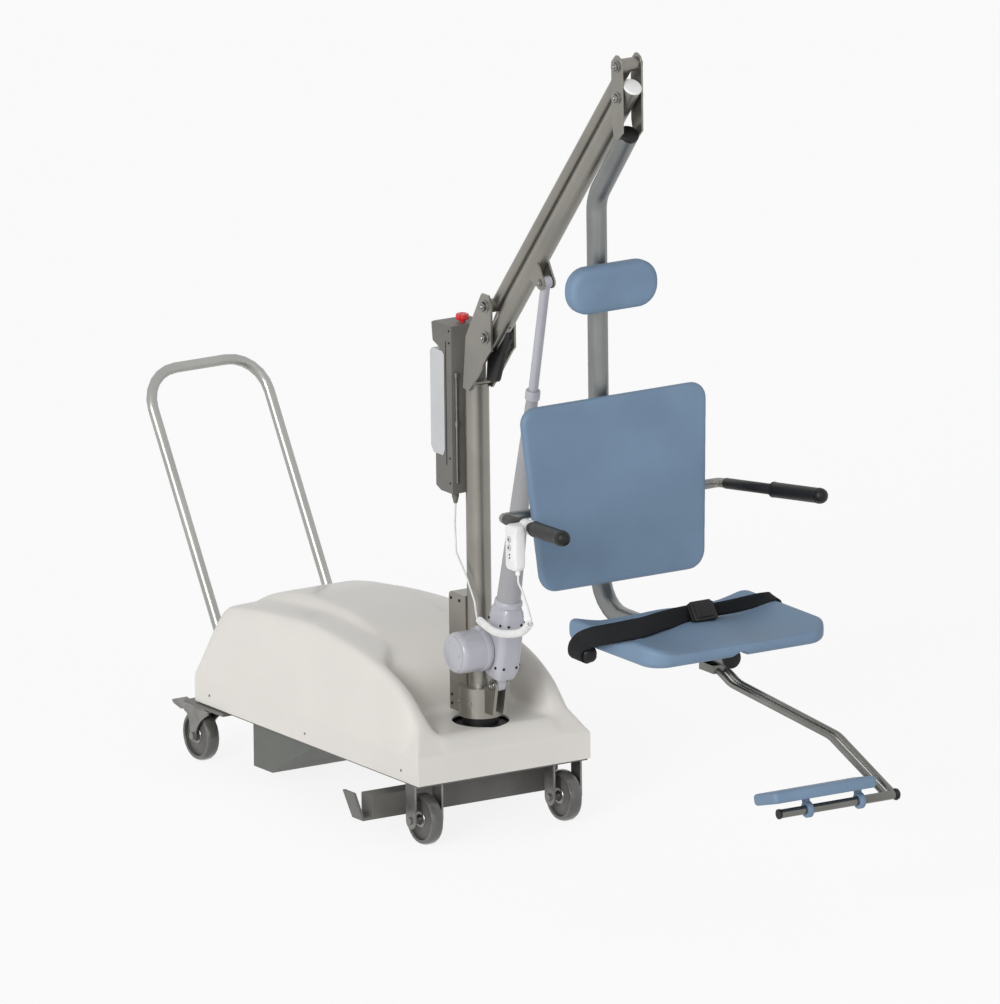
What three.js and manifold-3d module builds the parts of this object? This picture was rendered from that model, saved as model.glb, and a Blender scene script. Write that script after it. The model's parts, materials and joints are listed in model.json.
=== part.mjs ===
// Pool patient lift: a wheeled ballast cart with a turning mast, a parallelogram boom raised by a linear
// actuator, and a hanging chair with arms, lap belt and footrest. Millimetres, +Z up, +X from the push
// handle towards the chair. Pieces are laid out from the mast's axis at floor level, and the whole lift is
// moved at the end so that its origin is the centre of its footprint on the floor.
import * as THREE from "three";
import Module from "manifold-3d";
import { mergeVertices } from "three/addons/utils/BufferGeometryUtils.js";

const wasm = await Module();
wasm.setup();

// Clearances shared by all pieces
const seatGap = 0.3; // between pieces that touch on the real lift
const runningGap = 0.3; // between a shaft and its bore
const overrun = 5; // how far a cutting tool runs past what it cuts
const weldLap = 1; // how far welded pieces reach into each other

// Cart
const wheel = { radius: 63.5, width: 32, treadDepth: 12, hubWidth: 26, bossRadius: 14, webWidth: 14, facets: 24 };
const axle = { radius: 6, headRadius: 10, headLength: 6 };
const frontCaster = { x: 57, y: 200, legSpread: 36, legWidth: 42, legThick: 5, plateThick: 6 };
const rearCaster = {
  x: -915, y: 217, trail: 33, legSpread: 20, legThick: 4, legFoot: 26, crownLength: 74,
  crownDrop: 19, headRadius: 28, headHeight: 10, stemRadius: 8,
};
const pedal = { reach: 64, thick: 9, height: 128, pivotBack: 64, pinRadius: 2.5, barrelRadius: 5.5 };
const chassis = {
  bottom: 155, height: 34, railWidth: 60, cross: 70,
  barThick: 6, barRear: -960, barFront: -780, barHalf: 40,
};
const hopper = { rearX: -686, bottomX: -600, frontX: -391, depth: 113, halfWidth: 228 };
const ballast = { rearX: -700, frontX: -230, halfWidth: 165, height: 150, slit: 6, slitDepth: 8, plates: 5 };
const crossBeam = {
  x: -42, width: 50, bottom: 60, height: 60, left: 304, right: 232, strapX: 40, strapY: 120,
  footReach: 54, footRise: 74, footThick: 8,
};
const cover = {
  rearX: -924, frontX: 107, halfWidth: 248, bottom: 160, skirt: 66, wall: 5, ridgeInset: 33,
  shoulder: 16, holeRadius: 70.5, floor: 273, wellHalfWidth: 150, humpHalfWidth: 104, wallRun: 34,
};
const handle = {
  radius: 13.5, wall: 2, halfSpread: 168, footX: -861, footZ: 195, topX: -1279, topZ: 905, cornerRadius: 95,
  sleeveRadius: 19, sleeveHeight: 14, sleeveDepth: 24,
};

// Mast
const socket = { flangeRadius: 66, flangeBottom: 236, flangeTop: 262, neckRadius: 44, top: 284.7 };
const mast = { radius: 30, wall: 5, bottom: 168, top: 1118 };
const collar = { radius: 53, bottom: 285, top: 359, screwRadius: 5, screwProud: 3 };
const spine = { depth: 62, halfWidth: 30, top: 582, cornerRadius: 14 };
const clevis = { halfGap: 11, thick: 8, radius: 16, pinRadius: 8 };
const headPlate = { halfGap: 30.3, thick: 6, capThick: 6,
  outline: [[-103, -146], [-77, -149], [-37, -104], [13, -42], [27, -29], [27, 91], [15, 108], [-13, 108],
    [-19, 101], [-56, 39], [-88, -14]],
};
const boomPivot = { x: 97, z: 1254, boltRadius: 8, nutRadius: 13, nutHeight: 8 };
const linkRise = 78;
const controlBox = {
  frontX: -36, depth: 54, halfWidth: 50, bottom: 836, top: 1256, hoodDepth: 36, hoodHeight: 62, tailDepth: 22,
  tailHeight: 90, edge: 5, standoff: 5.7, standoffHalf: 12, glandRadius: 9, glandLength: 30, glandX: -62,
  glandY: -26,
};
const battery = { depth: 58, halfWidth: 52, gap: 6, corner: 8 };
const stopButton = { x: -63, radius: 14, height: 11, stemRadius: 7, stem: 11, travel: 4 };

// Boom and chair carrier
const boom = { radius: 24.15, wall: 3.5, length: 933, angle: 50, tail: 30, nose: 34, capLength: 6 };
const boomLug = { along: 280, below: 56, halfGap: 13, thick: 5, radius: 17, length: 62, boltRadius: 6 };
const upperLink = { radius: 16, eyeRadius: 17, eyeBore: 8.4 };
const carrier = {
  halfGap: 25.3, thick: 5, halfWidth: 24, above: 27, below: 104, chamfer: 20, boltRadius: 8, nutRadius: 12,
  nutHeight: 7,
};
const post = {
  radius: 25, wall: 3, ahead: 3, drop: 97, x: 553, kneeZ: 1690, footZ: 665, frontX: 1134, footRadius: 95,
  capLength: 12, plugLength: 12,
};
const actuator = {
  x: 85, z: 376, eyeRadius: 15, eyeHalf: 10.5, bodyHalfX: 40, bodyHalfY: 34, bodyStart: 22, bodyEnd: 215,
  bodyCorner: 18, tubeRadius: 29.5, tubeTopRadius: 15, tubeEnd: 795, rodRadius: 12, rodEyeRadius: 15,
  rodStroke: 262,
};
const motor = { along: 90, offset: -30, radius: 52, end: 125, capInset: 12 };

// Chair
const headrest = { x: 615, z: 1481, width: 252, height: 118, thick: 50, corner: 55, standoff: 15 };
const backrest = { topX: 614, topZ: 1213, bottomX: 652, bottomZ: 756, topWidth: 536, bottomWidth: 468,
  thick: 26, corner: 44 };
const seat = { rearX: 795, frontX: 1191, width: 520, top: 735, thick: 58, corner: 62, dish: 20, channelGap: 2 };
const seatPlate = { x: 1008, radius: 96, thick: 6 };
const arm = {
  x: 603, z: 947, halfSpread: 288, radius: 12, forward: 367, outward: 59, rise: 33, elbow: 22, stub: 24,
  gripRadius: 19, gripLength: 176, spigotRadius: 8,
};
const belt = {
  width: 50, thick: 3, sideGap: 0.2, footRise: 29, arch: 14, rearX: 888, frontX: 975,
  spanShares: [-1, -1.006, -0.976, -0.81, -0.49, 0, 0.45, 0.77, 0.967, 1.006, 1],
  riseShares: [0, 0.45, 0.82, 0.97, 0.99, 1, 0.99, 0.97, 0.82, 0.45, 0],
  reachShares: [0, 0, 0.03, 0.1, 0.26, 0.5, 0.74, 0.9, 0.97, 1, 1],
};
const buckle = { y: 48, length: 56, width: 54, thick: 17, reachShare: 0.57 };
const footrest = {
  radius: 8, spread: 24, x: 1094, endX: 1487, endY: 227, runShares: [0.076, 0.668, 1], dropShares: [0.121, 0.502, 1],
  bendRadius: 60, barRadius: 11, barLeft: -92, barRight: 240, barZ: 366, clampLength: 64, clampSide: 10,
};
const footboard = {
  width: 295, depth: 106, thick: 30, tilt: 15, forward: 3, offset: 17, lift: 41, bracket: 12, bracketY: 64,
  bracketSpread: 74, corner: 10,
};

// Handset and its curly cord
const handset = {
  barShare: 0.42, width: 50, thick: 28, corner: 12, above: 11, below: 103, standoff: 23.5, hookRadius: 18,
  hookLength: 34, hookOpening: 20, nozzleRadius: 6, nozzleLength: 9, nozzleX: 13,
};
const cord = { radius: 2.5, bendRadius: 26, sides: 8, lead: 14 };
const upperCordRoute = [[-62, -26, 806], [-60, -30, 760], [-50, -34, 687], [10, -44, 643], [52, -46, 585]];
const lowerCordRoute = [[776, -350, 768], [772, -362, 808], [770, -372, 830], [770, -372, 849]];
const curlRoute = [[92, -62, 552], [250, -120, 565], [400, -180, 597], [640, -280, 668], [764, -334, 724]];
const curl = { radius: 7.5, turns: 52, steps: 8, sides: 5 };

// The stop that rides under the boom's root, as [along the boom, up from its axis]
const boomStop = {
  halfWidth: 22,
  outline: [[-115, -49], [-96, -69], [4, -43.6], [60, -38.6], [58, -16], [-28, -16], [-63, -5]],
};

// Materials
const paint = (color, roughness, metalness = 0) => new THREE.MeshStandardMaterial({ color, roughness, metalness });
const finishes = {
  cover: paint(0xe9e7e2, 0.45),
  steel: paint(0x7b7a74, 0.35, 0.9),
  stainless: paint(0xa9a9a8, 0.25, 1),
  darkSteel: paint(0x5f605c, 0.5, 0.6),
  iron: paint(0x4a4a48, 0.7, 0.7),
  tread: paint(0x55534e, 0.6),
  hub: paint(0x6d6c68, 0.5),
  black: paint(0x1b1b1c, 0.6),
  boxGrey: paint(0x6a6a66, 0.5),
  batteryGrey: paint(0xc6c6c9, 0.45),
  red: paint(0xd0281f, 0.4),
  lavender: paint(0xd3d3de, 0.4),
  white: paint(0xf0f0ee, 0.45),
  blue: paint(0x7f9cbd, 0.6),
  webbing: paint(0x17191b, 0.85),
};

// Geometry helpers
const vec = (x, y, z) => new THREE.Vector3(x, y, z);
const alongY = vec(0, 1, 0);

function solidOf(geometry) {
  const plain = geometry.clone();
  plain.deleteAttribute("normal");
  plain.deleteAttribute("uv");
  const merged = mergeVertices(plain, 1e-4);
  return new wasm.Manifold(
    new wasm.Mesh({
      numProp: 3,
      vertProperties: merged.attributes.position.array,
      triVerts: new Uint32Array(merged.index.array),
    }),
  );
}

function geometryOf(solid) {
  const mesh = solid.getMesh();
  const geometry = new THREE.BufferGeometry();
  geometry.setAttribute("position", new THREE.BufferAttribute(mesh.vertProperties, mesh.numProp));
  geometry.setIndex(new THREE.BufferAttribute(mesh.triVerts, 1));
  return geometry;
}

function joined(first, ...others) {
  return geometryOf(others.reduce((sum, next) => sum.add(solidOf(next)), solidOf(first)));
}

function cut(first, ...tools) {
  return geometryOf(tools.reduce((rest, tool) => rest.subtract(solidOf(tool)), solidOf(first)));
}

function block(low, high) {
  const size = vec(...high).sub(vec(...low));
  const middle = vec(...high).add(vec(...low)).multiplyScalar(0.5);
  return new THREE.BoxGeometry(size.x, size.y, size.z).translate(middle.x, middle.y, middle.z);
}

// A body of revolution about local Z, from [radius, z] pairs that start and end on the axis or close.
function lathe(profile, sides = 24) {
  const points = profile.map(([radius, z]) => new THREE.Vector2(radius, z));
  const made = new THREE.LatheGeometry(points, sides).rotateX(Math.PI / 2);
  return solidOf(made).volume() > 0 ? made : facesTurned(made);
}

function facesTurned(geometry) {
  const order = geometry.index.array;
  for (let i = 0; i < order.length; i += 3) [order[i + 1], order[i + 2]] = [order[i + 2], order[i + 1]];
  return geometry;
}

function rod(radius, length, sides = 20) {
  return lathe([[0, 0], [radius, 0], [radius, length], [0, length]], sides);
}

function pipe(outer, inner, length, sides = 24) {
  return lathe([[inner, 0], [outer, 0], [outer, length], [inner, length], [inner, 0]], sides);
}

// Turns a geometry made along local Z so that it runs from one point towards another.
function aimed(geometry, from, towards) {
  const turn = new THREE.Quaternion().setFromUnitVectors(vec(0, 0, 1), towards.clone().sub(from).normalize());
  return geometry.clone().applyQuaternion(turn).translate(from.x, from.y, from.z);
}

function rodBetween(radius, from, to, sides = 20) {
  return aimed(rod(radius, from.distanceTo(to), sides), from, to);
}

// A rod along Y, centred on y.
function crossRod(radius, x, y, z, length, sides = 20) {
  return rodBetween(radius, vec(x, y - length / 2, z), vec(x, y + length / 2, z), sides);
}

// A flat plate cut to an outline of [x, z] points, standing across Y from y to y + thick.
function plateXZ(outline, y, thick, curveSegments = 6) {
  const shape = outline instanceof THREE.Shape ? outline : new THREE.Shape(outline.map(([x, z]) => new THREE.Vector2(x, z)));
  const flat = new THREE.ExtrudeGeometry(shape, { depth: thick, bevelEnabled: false, curveSegments });
  return flat.rotateX(Math.PI / 2).translate(0, y + thick, 0);
}

function circleSection(radius, bore) {
  const shape = new THREE.Shape().absarc(0, 0, radius, 0, 2 * Math.PI);
  if (bore) shape.holes.push(new THREE.Path().absarc(0, 0, bore, 0, 2 * Math.PI, true));
  return shape;
}

// A path through corner points with round bends, sampled only where it bends.
class BentPath extends THREE.Curve {
  constructor(corners, bendRadius, bendSteps = 6) {
    super();
    this.places = [corners[0]];
    for (let i = 1; i < corners.length - 1; i++) {
      const before = corners[i - 1].clone().sub(corners[i]).normalize();
      const after = corners[i + 1].clone().sub(corners[i]).normalize();
      const half = before.angleTo(after) / 2;
      const reach = Math.min(bendRadius / Math.tan(half), corners[i - 1].distanceTo(corners[i]) / 2,
        corners[i + 1].distanceTo(corners[i]) / 2);
      const radius = reach * Math.tan(half);
      const inward = before.clone().add(after).normalize();
      const centre = corners[i].clone().addScaledVector(inward, radius / Math.sin(half));
      const start = corners[i].clone().addScaledVector(before, reach).sub(centre);
      const axis = before.clone().cross(after).normalize();
      const sweep = Math.PI - 2 * half;
      for (let k = 0; k <= bendSteps; k++) {
        const place = start.clone().applyAxisAngle(axis, (-sweep * k) / bendSteps).add(centre);
        this.places.push(place);
      }
    }
    this.places.push(corners[corners.length - 1]);
  }
  get steps() {
    return this.places.length - 1;
  }
  getUtoTmapping(u) {
    return u;
  }
  getPoint(t, target = new THREE.Vector3()) {
    const along = t * this.steps;
    const i = Math.min(Math.floor(along), this.steps - 1);
    return target.copy(this.places[i]).lerp(this.places[i + 1], along - i);
  }
  getTangent(t, target = new THREE.Vector3()) {
    const i = Math.round(t * this.steps);
    const before = this.places[Math.max(i - 1, 0)];
    const here = this.places[i];
    const after = this.places[Math.min(i + 1, this.steps)];
    const into = here.clone().sub(before).normalize();
    const out = after.clone().sub(here).normalize();
    return target.copy(into.add(out)).normalize();
  }
}

function bentTube(path, radius, bore = 0, sides = 12) {
  return new THREE.ExtrudeGeometry(circleSection(radius, bore), {
    steps: path.steps,
    extrudePath: path,
    curveSegments: sides / 2,
  });
}

// A closed skin through rings of equal count, with a flat fan at each end.
function loft(rings) {
  const count = rings[0].length;
  const places = rings.flat();
  const first = places.length;
  for (const ring of [rings[0], rings[rings.length - 1]]) {
    places.push(ring.reduce((sum, point) => sum.add(point), vec(0, 0, 0)).divideScalar(count));
  }
  const faces = [];
  for (let r = 0; r < rings.length - 1; r++) {
    for (let i = 0; i < count; i++) {
      const next = (i + 1) % count;
      const [a, b, c, d] = [r * count + i, r * count + next, (r + 1) * count + next, (r + 1) * count + i];
      faces.push(a, b, c, a, c, d);
    }
  }
  const last = (rings.length - 1) * count;
  for (let i = 0; i < count; i++) {
    const next = (i + 1) % count;
    faces.push(first, next, i, first + 1, last + i, last + next);
  }
  return facingOut(places, faces);
}

function facingOut(places, faces) {
  const geometry = new THREE.BufferGeometry();
  geometry.setAttribute("position", new THREE.Float32BufferAttribute(places.flatMap((p) => [p.x, p.y, p.z]), 3));
  geometry.setIndex(faces);
  if (solidOf(geometry).volume() < 0) geometry.setIndex(faces.slice().reverse());
  return geometry;
}

// Corner arcs of a rounded rectangle, with a different width at each end of its height.
function roundedOutline(lowWidth, highWidth, height, corner, arcSteps = 6) {
  const centres = [
    [highWidth / 2 - corner, height / 2 - corner, 0],
    [corner - highWidth / 2, height / 2 - corner, 1],
    [corner - lowWidth / 2, corner - height / 2, 2],
    [lowWidth / 2 - corner, corner - height / 2, 3],
  ];
  return centres.flatMap(([u, v, quarter]) =>
    Array.from({ length: arcSteps + 1 }, (_, k) => {
      const angle = ((quarter + k / arcSteps) * Math.PI) / 2;
      return [u + corner * Math.cos(angle), v + corner * Math.sin(angle)];
    }),
  );
}

// A crowned pad: shares are [scale of the outline, place through the thickness from -1 to 1].
const padShares = [
  [0.5, -1], [0.93, -1], [0.975, -0.8], [0.995, -0.35], [1, 0.1], [0.985, 0.55], [0.95, 0.82], [0.82, 0.95],
  [0.5, 1], [0.2, 1.02],
];
function padRings(outline, thick, place) {
  return padShares.map(([scale, through]) =>
    outline.map(([u, v]) => place(u * scale, v * scale, (through * thick) / 2)));
}

// A small hexagon-headed bolt along Y through both walls, with a nut on the far side.
function throughBolt(radius, nutRadius, nutHeight, x, z, halfSpan) {
  const shank = crossRod(radius, x, 0, z, 2 * (halfSpan + seatGap + weldLap), 16);
  const ends = [-1, 1].map((side) =>
    crossRod(nutRadius, x, side * (halfSpan + seatGap + nutHeight / 2), z, nutHeight, 6));
  return joined(shank, ...ends);
}

// The scene graph: one group for each thing that moves as a whole
const lift = new THREE.Group();
function add(name, geometry, finish, group = lift) {
  const mesh = new THREE.Mesh(geometry, finish);
  mesh.name = name;
  group.add(mesh);
  return mesh;
}

function subGroup(parent, x, y, z) {
  const group = new THREE.Group();
  group.position.set(x, y, z);
  parent.add(group);
  return group;
}

const sides = { left: -1, right: 1 };

// Cart

function tyreGeometry() {
  const half = wheel.width / 2;
  const rim = wheel.radius - wheel.treadDepth;
  const profile = [
    [rim, -half], [wheel.radius - wheel.treadDepth / 3, -half], [wheel.radius, -half / 2], [wheel.radius, half / 2],
    [wheel.radius - wheel.treadDepth / 3, half], [rim, half], [rim, -half],
  ];
  return aimed(lathe(profile, wheel.facets), vec(0, 0, 0), alongY);
}

function hubGeometry() {
  const rim = wheel.radius - wheel.treadDepth - seatGap;
  const bore = axle.radius + runningGap;
  const half = wheel.hubWidth / 2;
  const web = wheel.webWidth / 2;
  const profile = [
    [bore, -half], [wheel.bossRadius, -half], [rim, -web], [rim, web], [wheel.bossRadius, half], [bore, half],
    [bore, -half],
  ];
  return aimed(lathe(profile, wheel.facets), vec(0, 0, 0), alongY);
}

function addWheel(side, name, group) {
  add(`${name}_tyre_${side}`, tyreGeometry(), finishes.tread, group);
  add(`${name}_hub_${side}`, hubGeometry(), finishes.hub, group);
}

function axleGeometry(halfSpan) {
  const shank = crossRod(axle.radius, 0, 0, 0, 2 * halfSpan, 16);
  const heads = [-1, 1].map((side) =>
    crossRod(axle.headRadius, 0, side * (halfSpan + axle.headLength / 2 - weldLap), 0, axle.headLength, 6));
  return [shank, ...heads];
}

// A straight fork with two flat legs, hung from a plate under the chassis.
function frontFork() {
  const rise = chassis.bottom - seatGap - wheel.radius;
  const half = frontCaster.legWidth / 2;
  const leg = new THREE.Shape();
  leg.moveTo(-half, rise);
  leg.lineTo(-half, 0);
  leg.absarc(0, 0, half, Math.PI, 2 * Math.PI);
  leg.lineTo(half, rise);
  const reach = frontCaster.legSpread;
  const legs = [reach, -reach - frontCaster.legThick].map((y) => plateXZ(leg, y, frontCaster.legThick));
  const outer = reach + frontCaster.legThick;
  const top = block([-half, -outer, rise - frontCaster.plateThick], [half, outer, rise]);
  const spacers = [-1, 1].map((side) => {
    const inner = wheel.hubWidth / 2 + runningGap;
    return crossRod(axle.headRadius, 0, (side * (reach + inner)) / 2, 0, reach - inner, 12);
  });
  return joined(top, ...legs, ...spacers, ...axleGeometry(outer));
}

// A swivel fork: horn-shaped cheeks under a round head.
function rearFork() {
  const rise = chassis.bottom - chassis.barThick - seatGap - wheel.radius;
  const crown = rise - rearCaster.headHeight;
  const foot = rearCaster.legFoot / 2;
  const front = rearCaster.trail + rearCaster.crownLength / 2;
  const rear = -pedalPivotBack() - pedal.barrelRadius * 1.5;
  const cheek = new THREE.Shape();
  cheek.moveTo(rear, crown);
  cheek.lineTo(rear, crown - rearCaster.crownDrop);
  cheek.quadraticCurveTo(-foot, crown - rearCaster.crownDrop, -foot, 0);
  cheek.absarc(0, 0, foot, Math.PI, 2 * Math.PI);
  cheek.quadraticCurveTo(foot, crown - rearCaster.crownDrop * 2, front, crown - rearCaster.crownDrop / 2);
  cheek.lineTo(front, crown);
  const reach = rearCaster.legSpread;
  const outer = reach + rearCaster.legThick;
  const cheeks = [reach, -outer].map((y) => plateXZ(cheek, y, rearCaster.legThick));
  const top = block([rear, -outer, crown - rearCaster.legThick], [front, outer, crown]);
  const head = rod(rearCaster.headRadius, rearCaster.headHeight + weldLap, 20)
    .translate(rearCaster.trail, 0, crown - weldLap);
  const stem = rod(rearCaster.stemRadius, chassis.barThick + rearCaster.headHeight, 16)
    .translate(rearCaster.trail, 0, crown + weldLap);
  const pinHole = crossRod(pedal.pinRadius + runningGap, -pedalPivotBack(), 0, pedal.height - wheel.radius,
    2 * (outer + overrun), 12);
  const spacers = [-1, 1].map((side) => {
    const inner = wheel.hubWidth / 2 + runningGap;
    return crossRod(axle.headRadius, 0, (side * (reach + inner)) / 2, 0, reach - inner, 12);
  });
  return cut(joined(top, ...cheeks, head, stem, ...spacers, ...axleGeometry(outer)), pinHole);
}

function pedalPivotBack() {
  return pedal.pivotBack - rearCaster.trail;
}

function brakePedal() {
  const half = rearCaster.legSpread - runningGap;
  const x = -pedalPivotBack();
  const z = pedal.height - wheel.radius;
  const barrel = crossRod(pedal.barrelRadius, x, 0, z, 2 * half, 12);
  const pin = crossRod(pedal.pinRadius, x, 0, z, 2 * (half + runningGap + rearCaster.legThick), 12);
  const back = x - pedal.reach;
  const lip = pedal.thick;
  const tongue = plateXZ(
    [[x, z - lip / 2], [x, z + lip / 2], [back / 2 + x / 2, z + lip / 4], [back, z + lip], [back - lip, z + lip / 2],
      [back, z - lip / 4], [back / 2 + x / 2, z - lip]],
    -half, 2 * half);
  return joined(barrel, pin, tongue);
}

function handleLegLine(side) {
  const foot = vec(handle.footX, side * handle.halfSpread, handle.footZ);
  const up = vec(handle.topX - handle.footX, 0, handle.topZ - handle.footZ).normalize();
  return { foot, up };
}

function chassisFrame() {
  const top = chassis.bottom + chassis.height;
  const halfWidth = cover.halfWidth - cover.wall - seatGap;
  const rearX = cover.rearX + cover.wall + seatGap;
  const frontX = cover.frontX - cover.wall - seatGap;
  const outer = block([rearX, -halfWidth, chassis.bottom], [frontX, halfWidth, top]);
  const inside = halfWidth - chassis.railWidth;
  const bays = 3;
  const first = rearX + chassis.cross;
  const pitch = (frontX - chassis.cross * 2 - first) / bays;
  const windows = Array.from({ length: bays - 1 }, (_, i) =>
    block([first + i * pitch, -inside, chassis.bottom - overrun],
      [first + (i + 1) * pitch - chassis.cross, inside, top + overrun]));
  const socketHole = rod(mast.radius + runningGap, 2 * overrun + chassis.height, 32)
    .translate(0, 0, chassis.bottom - overrun);
  const added = [];
  const removed = [...windows, socketHole];
  for (const side of Object.values(sides)) {
    added.push(block([chassis.barRear, side * rearCaster.y - chassis.barHalf, chassis.bottom - chassis.barThick],
      [chassis.barFront, side * rearCaster.y + chassis.barHalf, chassis.bottom + weldLap]));
    removed.push(rod(rearCaster.stemRadius + runningGap, chassis.barThick + 2 * overrun, 16)
      .translate(rearCaster.x, side * rearCaster.y, chassis.bottom - chassis.barThick - overrun));
    const { foot, up } = handleLegLine(side);
    const low = foot.clone().addScaledVector(up, -handle.sleeveDepth);
    const high = foot.clone().addScaledVector(up, handle.sleeveHeight);
    added.push(rodBetween(handle.sleeveRadius, low, high, 20));
    removed.push(rodBetween(handle.radius + seatGap, foot.clone().addScaledVector(up, -handle.sleeveDepth - overrun),
      high.clone().addScaledVector(up, overrun), 20));
  }
  return cut(joined(outer, ...added), ...removed);
}

function ballastHopper() {
  const top = chassis.bottom - seatGap;
  const bottom = top - hopper.depth;
  return plateXZ([[hopper.rearX, top], [hopper.rearX, bottom], [hopper.bottomX, bottom], [hopper.frontX, top]],
    -hopper.halfWidth, 2 * hopper.halfWidth);
}

// Steel plates stacked on the chassis, shown by the slits between their edges.
function ballastStack() {
  const bottom = chassis.bottom + chassis.height + seatGap;
  const pitch = ballast.height / ballast.plates;
  const body = block([ballast.rearX, -ballast.halfWidth, bottom],
    [ballast.frontX, ballast.halfWidth, bottom + ballast.height]);
  const slits = Array.from({ length: ballast.plates - 1 }, (_, i) => {
    const z = bottom + (i + 1) * pitch;
    return block([ballast.frontX - ballast.slitDepth, -ballast.halfWidth - overrun, z - ballast.slit / 2],
      [ballast.frontX + overrun, ballast.halfWidth + overrun, z + ballast.slit / 2]);
  });
  return cut(body, ...slits);
}

function crossBeamGeometry() {
  const { x, bottom, footThick } = crossBeam;
  const half = crossBeam.width / 2;
  const top = bottom + crossBeam.height;
  const beam = block([x - half, -crossBeam.left, bottom], [x + half, crossBeam.right, top]);
  const straps = [-1, 1].map((side) => block(
    [x - half, side * crossBeam.strapY - crossBeam.strapX / 2, top - weldLap],
    [x + half, side * crossBeam.strapY + crossBeam.strapX / 2, chassis.bottom - seatGap]));
  const outline = [
    [-crossBeam.left + weldLap, bottom], [-crossBeam.left - crossBeam.footReach / 2, bottom],
    [-crossBeam.left - crossBeam.footReach, bottom + crossBeam.footRise],
    [-crossBeam.left - crossBeam.footReach + footThick, bottom + crossBeam.footRise],
    [-crossBeam.left - crossBeam.footReach / 2 + footThick / 2, bottom + footThick],
    [-crossBeam.left + weldLap, bottom + footThick],
  ];
  const shape = new THREE.Shape(outline.map(([y, z]) => new THREE.Vector2(y, z)));
  const foot = new THREE.ExtrudeGeometry(shape, { depth: crossBeam.width, bevelEnabled: false })
    .rotateX(Math.PI / 2).rotateZ(Math.PI / 2).translate(x - half, 0, 0);
  return joined(beam, ...straps, foot);
}

// Heights of the cover's side ridge and of its middle, as [share of the length, height above the skirt].
const ridgeLine = [
  [0, 0], [0.03, 72], [0.07, 164], [0.1, 189], [0.2, 206], [0.34, 220], [0.46, 226], [0.58, 218],
  [0.68, 203], [0.77, 182], [0.83, 160], [0.89, 124], [0.94, 68], [0.975, 27], [1, 0],
];
const middleLine = [
  [0, 0], [0.03, 74], [0.07, 168], [0.1, 198], [0.2, 231], [0.34, 249], [0.46, 247], [0.58, 229],
  [0.645, 207], [0.7, 182], [0.745, 142], [0.785, 62], [0.83, 47], [0.94, 44], [0.975, 22], [1, 0],
];
function heightAt(line, share) {
  const i = Math.max(1, line.findIndex(([at]) => at >= share));
  const [[a, low], [b, high]] = [line[i - 1], line[i]];
  return low + ((high - low) * (share - a)) / (b - a);
}

// One cross-section of the cover at a share of its length, drawn in by inset on all outer faces.
function coverRing(share, inset) {
  const x = THREE.MathUtils.lerp(cover.rearX + inset, cover.frontX - inset, share);
  const skirtTop = cover.bottom + cover.skirt;
  const bottom = inset ? cover.bottom - overrun : cover.bottom;
  const ridge = Math.max(skirtTop + heightAt(ridgeLine, share) - inset, skirtTop - inset);
  const middle = Math.max(skirtTop + heightAt(middleLine, share) - inset, skirtTop - inset);
  const wide = THREE.MathUtils.smoothstep(share, 0.66, 0.76);
  const half = THREE.MathUtils.lerp(cover.humpHalfWidth, cover.wellHalfWidth, wide);
  const full = cover.halfWidth - inset;
  const rise = Math.min(1, heightAt(ridgeLine, share) / cover.skirt);
  const top = full - cover.ridgeInset * rise;
  const soft = cover.shoulder * rise;
  const run = cover.wallRun;
  const blend = (t) => THREE.MathUtils.lerp(ridge, middle, t);
  const rightSide = [
    [full, bottom], [full, skirtTop - inset], [top + soft * 0.35, ridge - soft], [top - soft * 0.3, ridge - soft * 0.25],
    [top - soft * 1.3, ridge], [half + run, blend(0.03)], [half + run * 0.7, blend(0.2)], [half + run * 0.4, blend(0.6)],
    [half + run * 0.12, blend(0.92)], [half - run * 0.2, middle], [half / 2, middle],
  ];
  const leftSide = rightSide.map(([y, z]) => [-y, z]).reverse();
  return [...rightSide, [0, middle], ...leftSide].map(([y, z]) => vec(x, y, z));
}

function coverShell() {
  const shares = [...new Set([...ridgeLine, ...middleLine].map(([at]) => at))].sort((a, b) => a - b);
  const outer = loft(shares.map((share) => coverRing(share, 0)));
  const inner = loft(shares.map((share) => coverRing(share, cover.wall)));
  const mastHole = rod(cover.holeRadius, cover.skirt + cover.floor, 32).translate(0, 0, cover.bottom);
  const legHoles = Object.values(sides).map((side) => {
    const { foot, up } = handleLegLine(side);
    return rodBetween(handle.radius + cover.wall / 2, foot, foot.clone().addScaledVector(up, cover.skirt * 3), 12);
  });
  return cut(outer, inner, mastHole, ...legHoles);
}

function pushHandle() {
  const corners = Object.values(sides).map((side) => [
    handleLegLine(side).foot.clone(),
    vec(handle.topX, side * handle.halfSpread, handle.topZ),
  ]);
  const path = new BentPath([...corners[0], ...corners[1].reverse()], handle.cornerRadius, 6);
  return bentTube(path, handle.radius, handle.radius - handle.wall, 10);
}

function mastSocket() {
  const bore = mast.radius + runningGap;
  const foot = chassis.bottom + chassis.height + seatGap;
  return lathe([
    [bore, foot], [socket.flangeRadius, foot], [socket.flangeRadius, foot + chassis.barThick],
    [socket.neckRadius, foot + chassis.barThick * 2], [socket.neckRadius, socket.flangeBottom],
    [socket.flangeRadius, socket.flangeBottom], [socket.flangeRadius, socket.flangeTop],
    [socket.neckRadius, socket.flangeTop], [socket.neckRadius, socket.top], [bore, socket.top], [bore, foot],
  ], 32);
}

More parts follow.
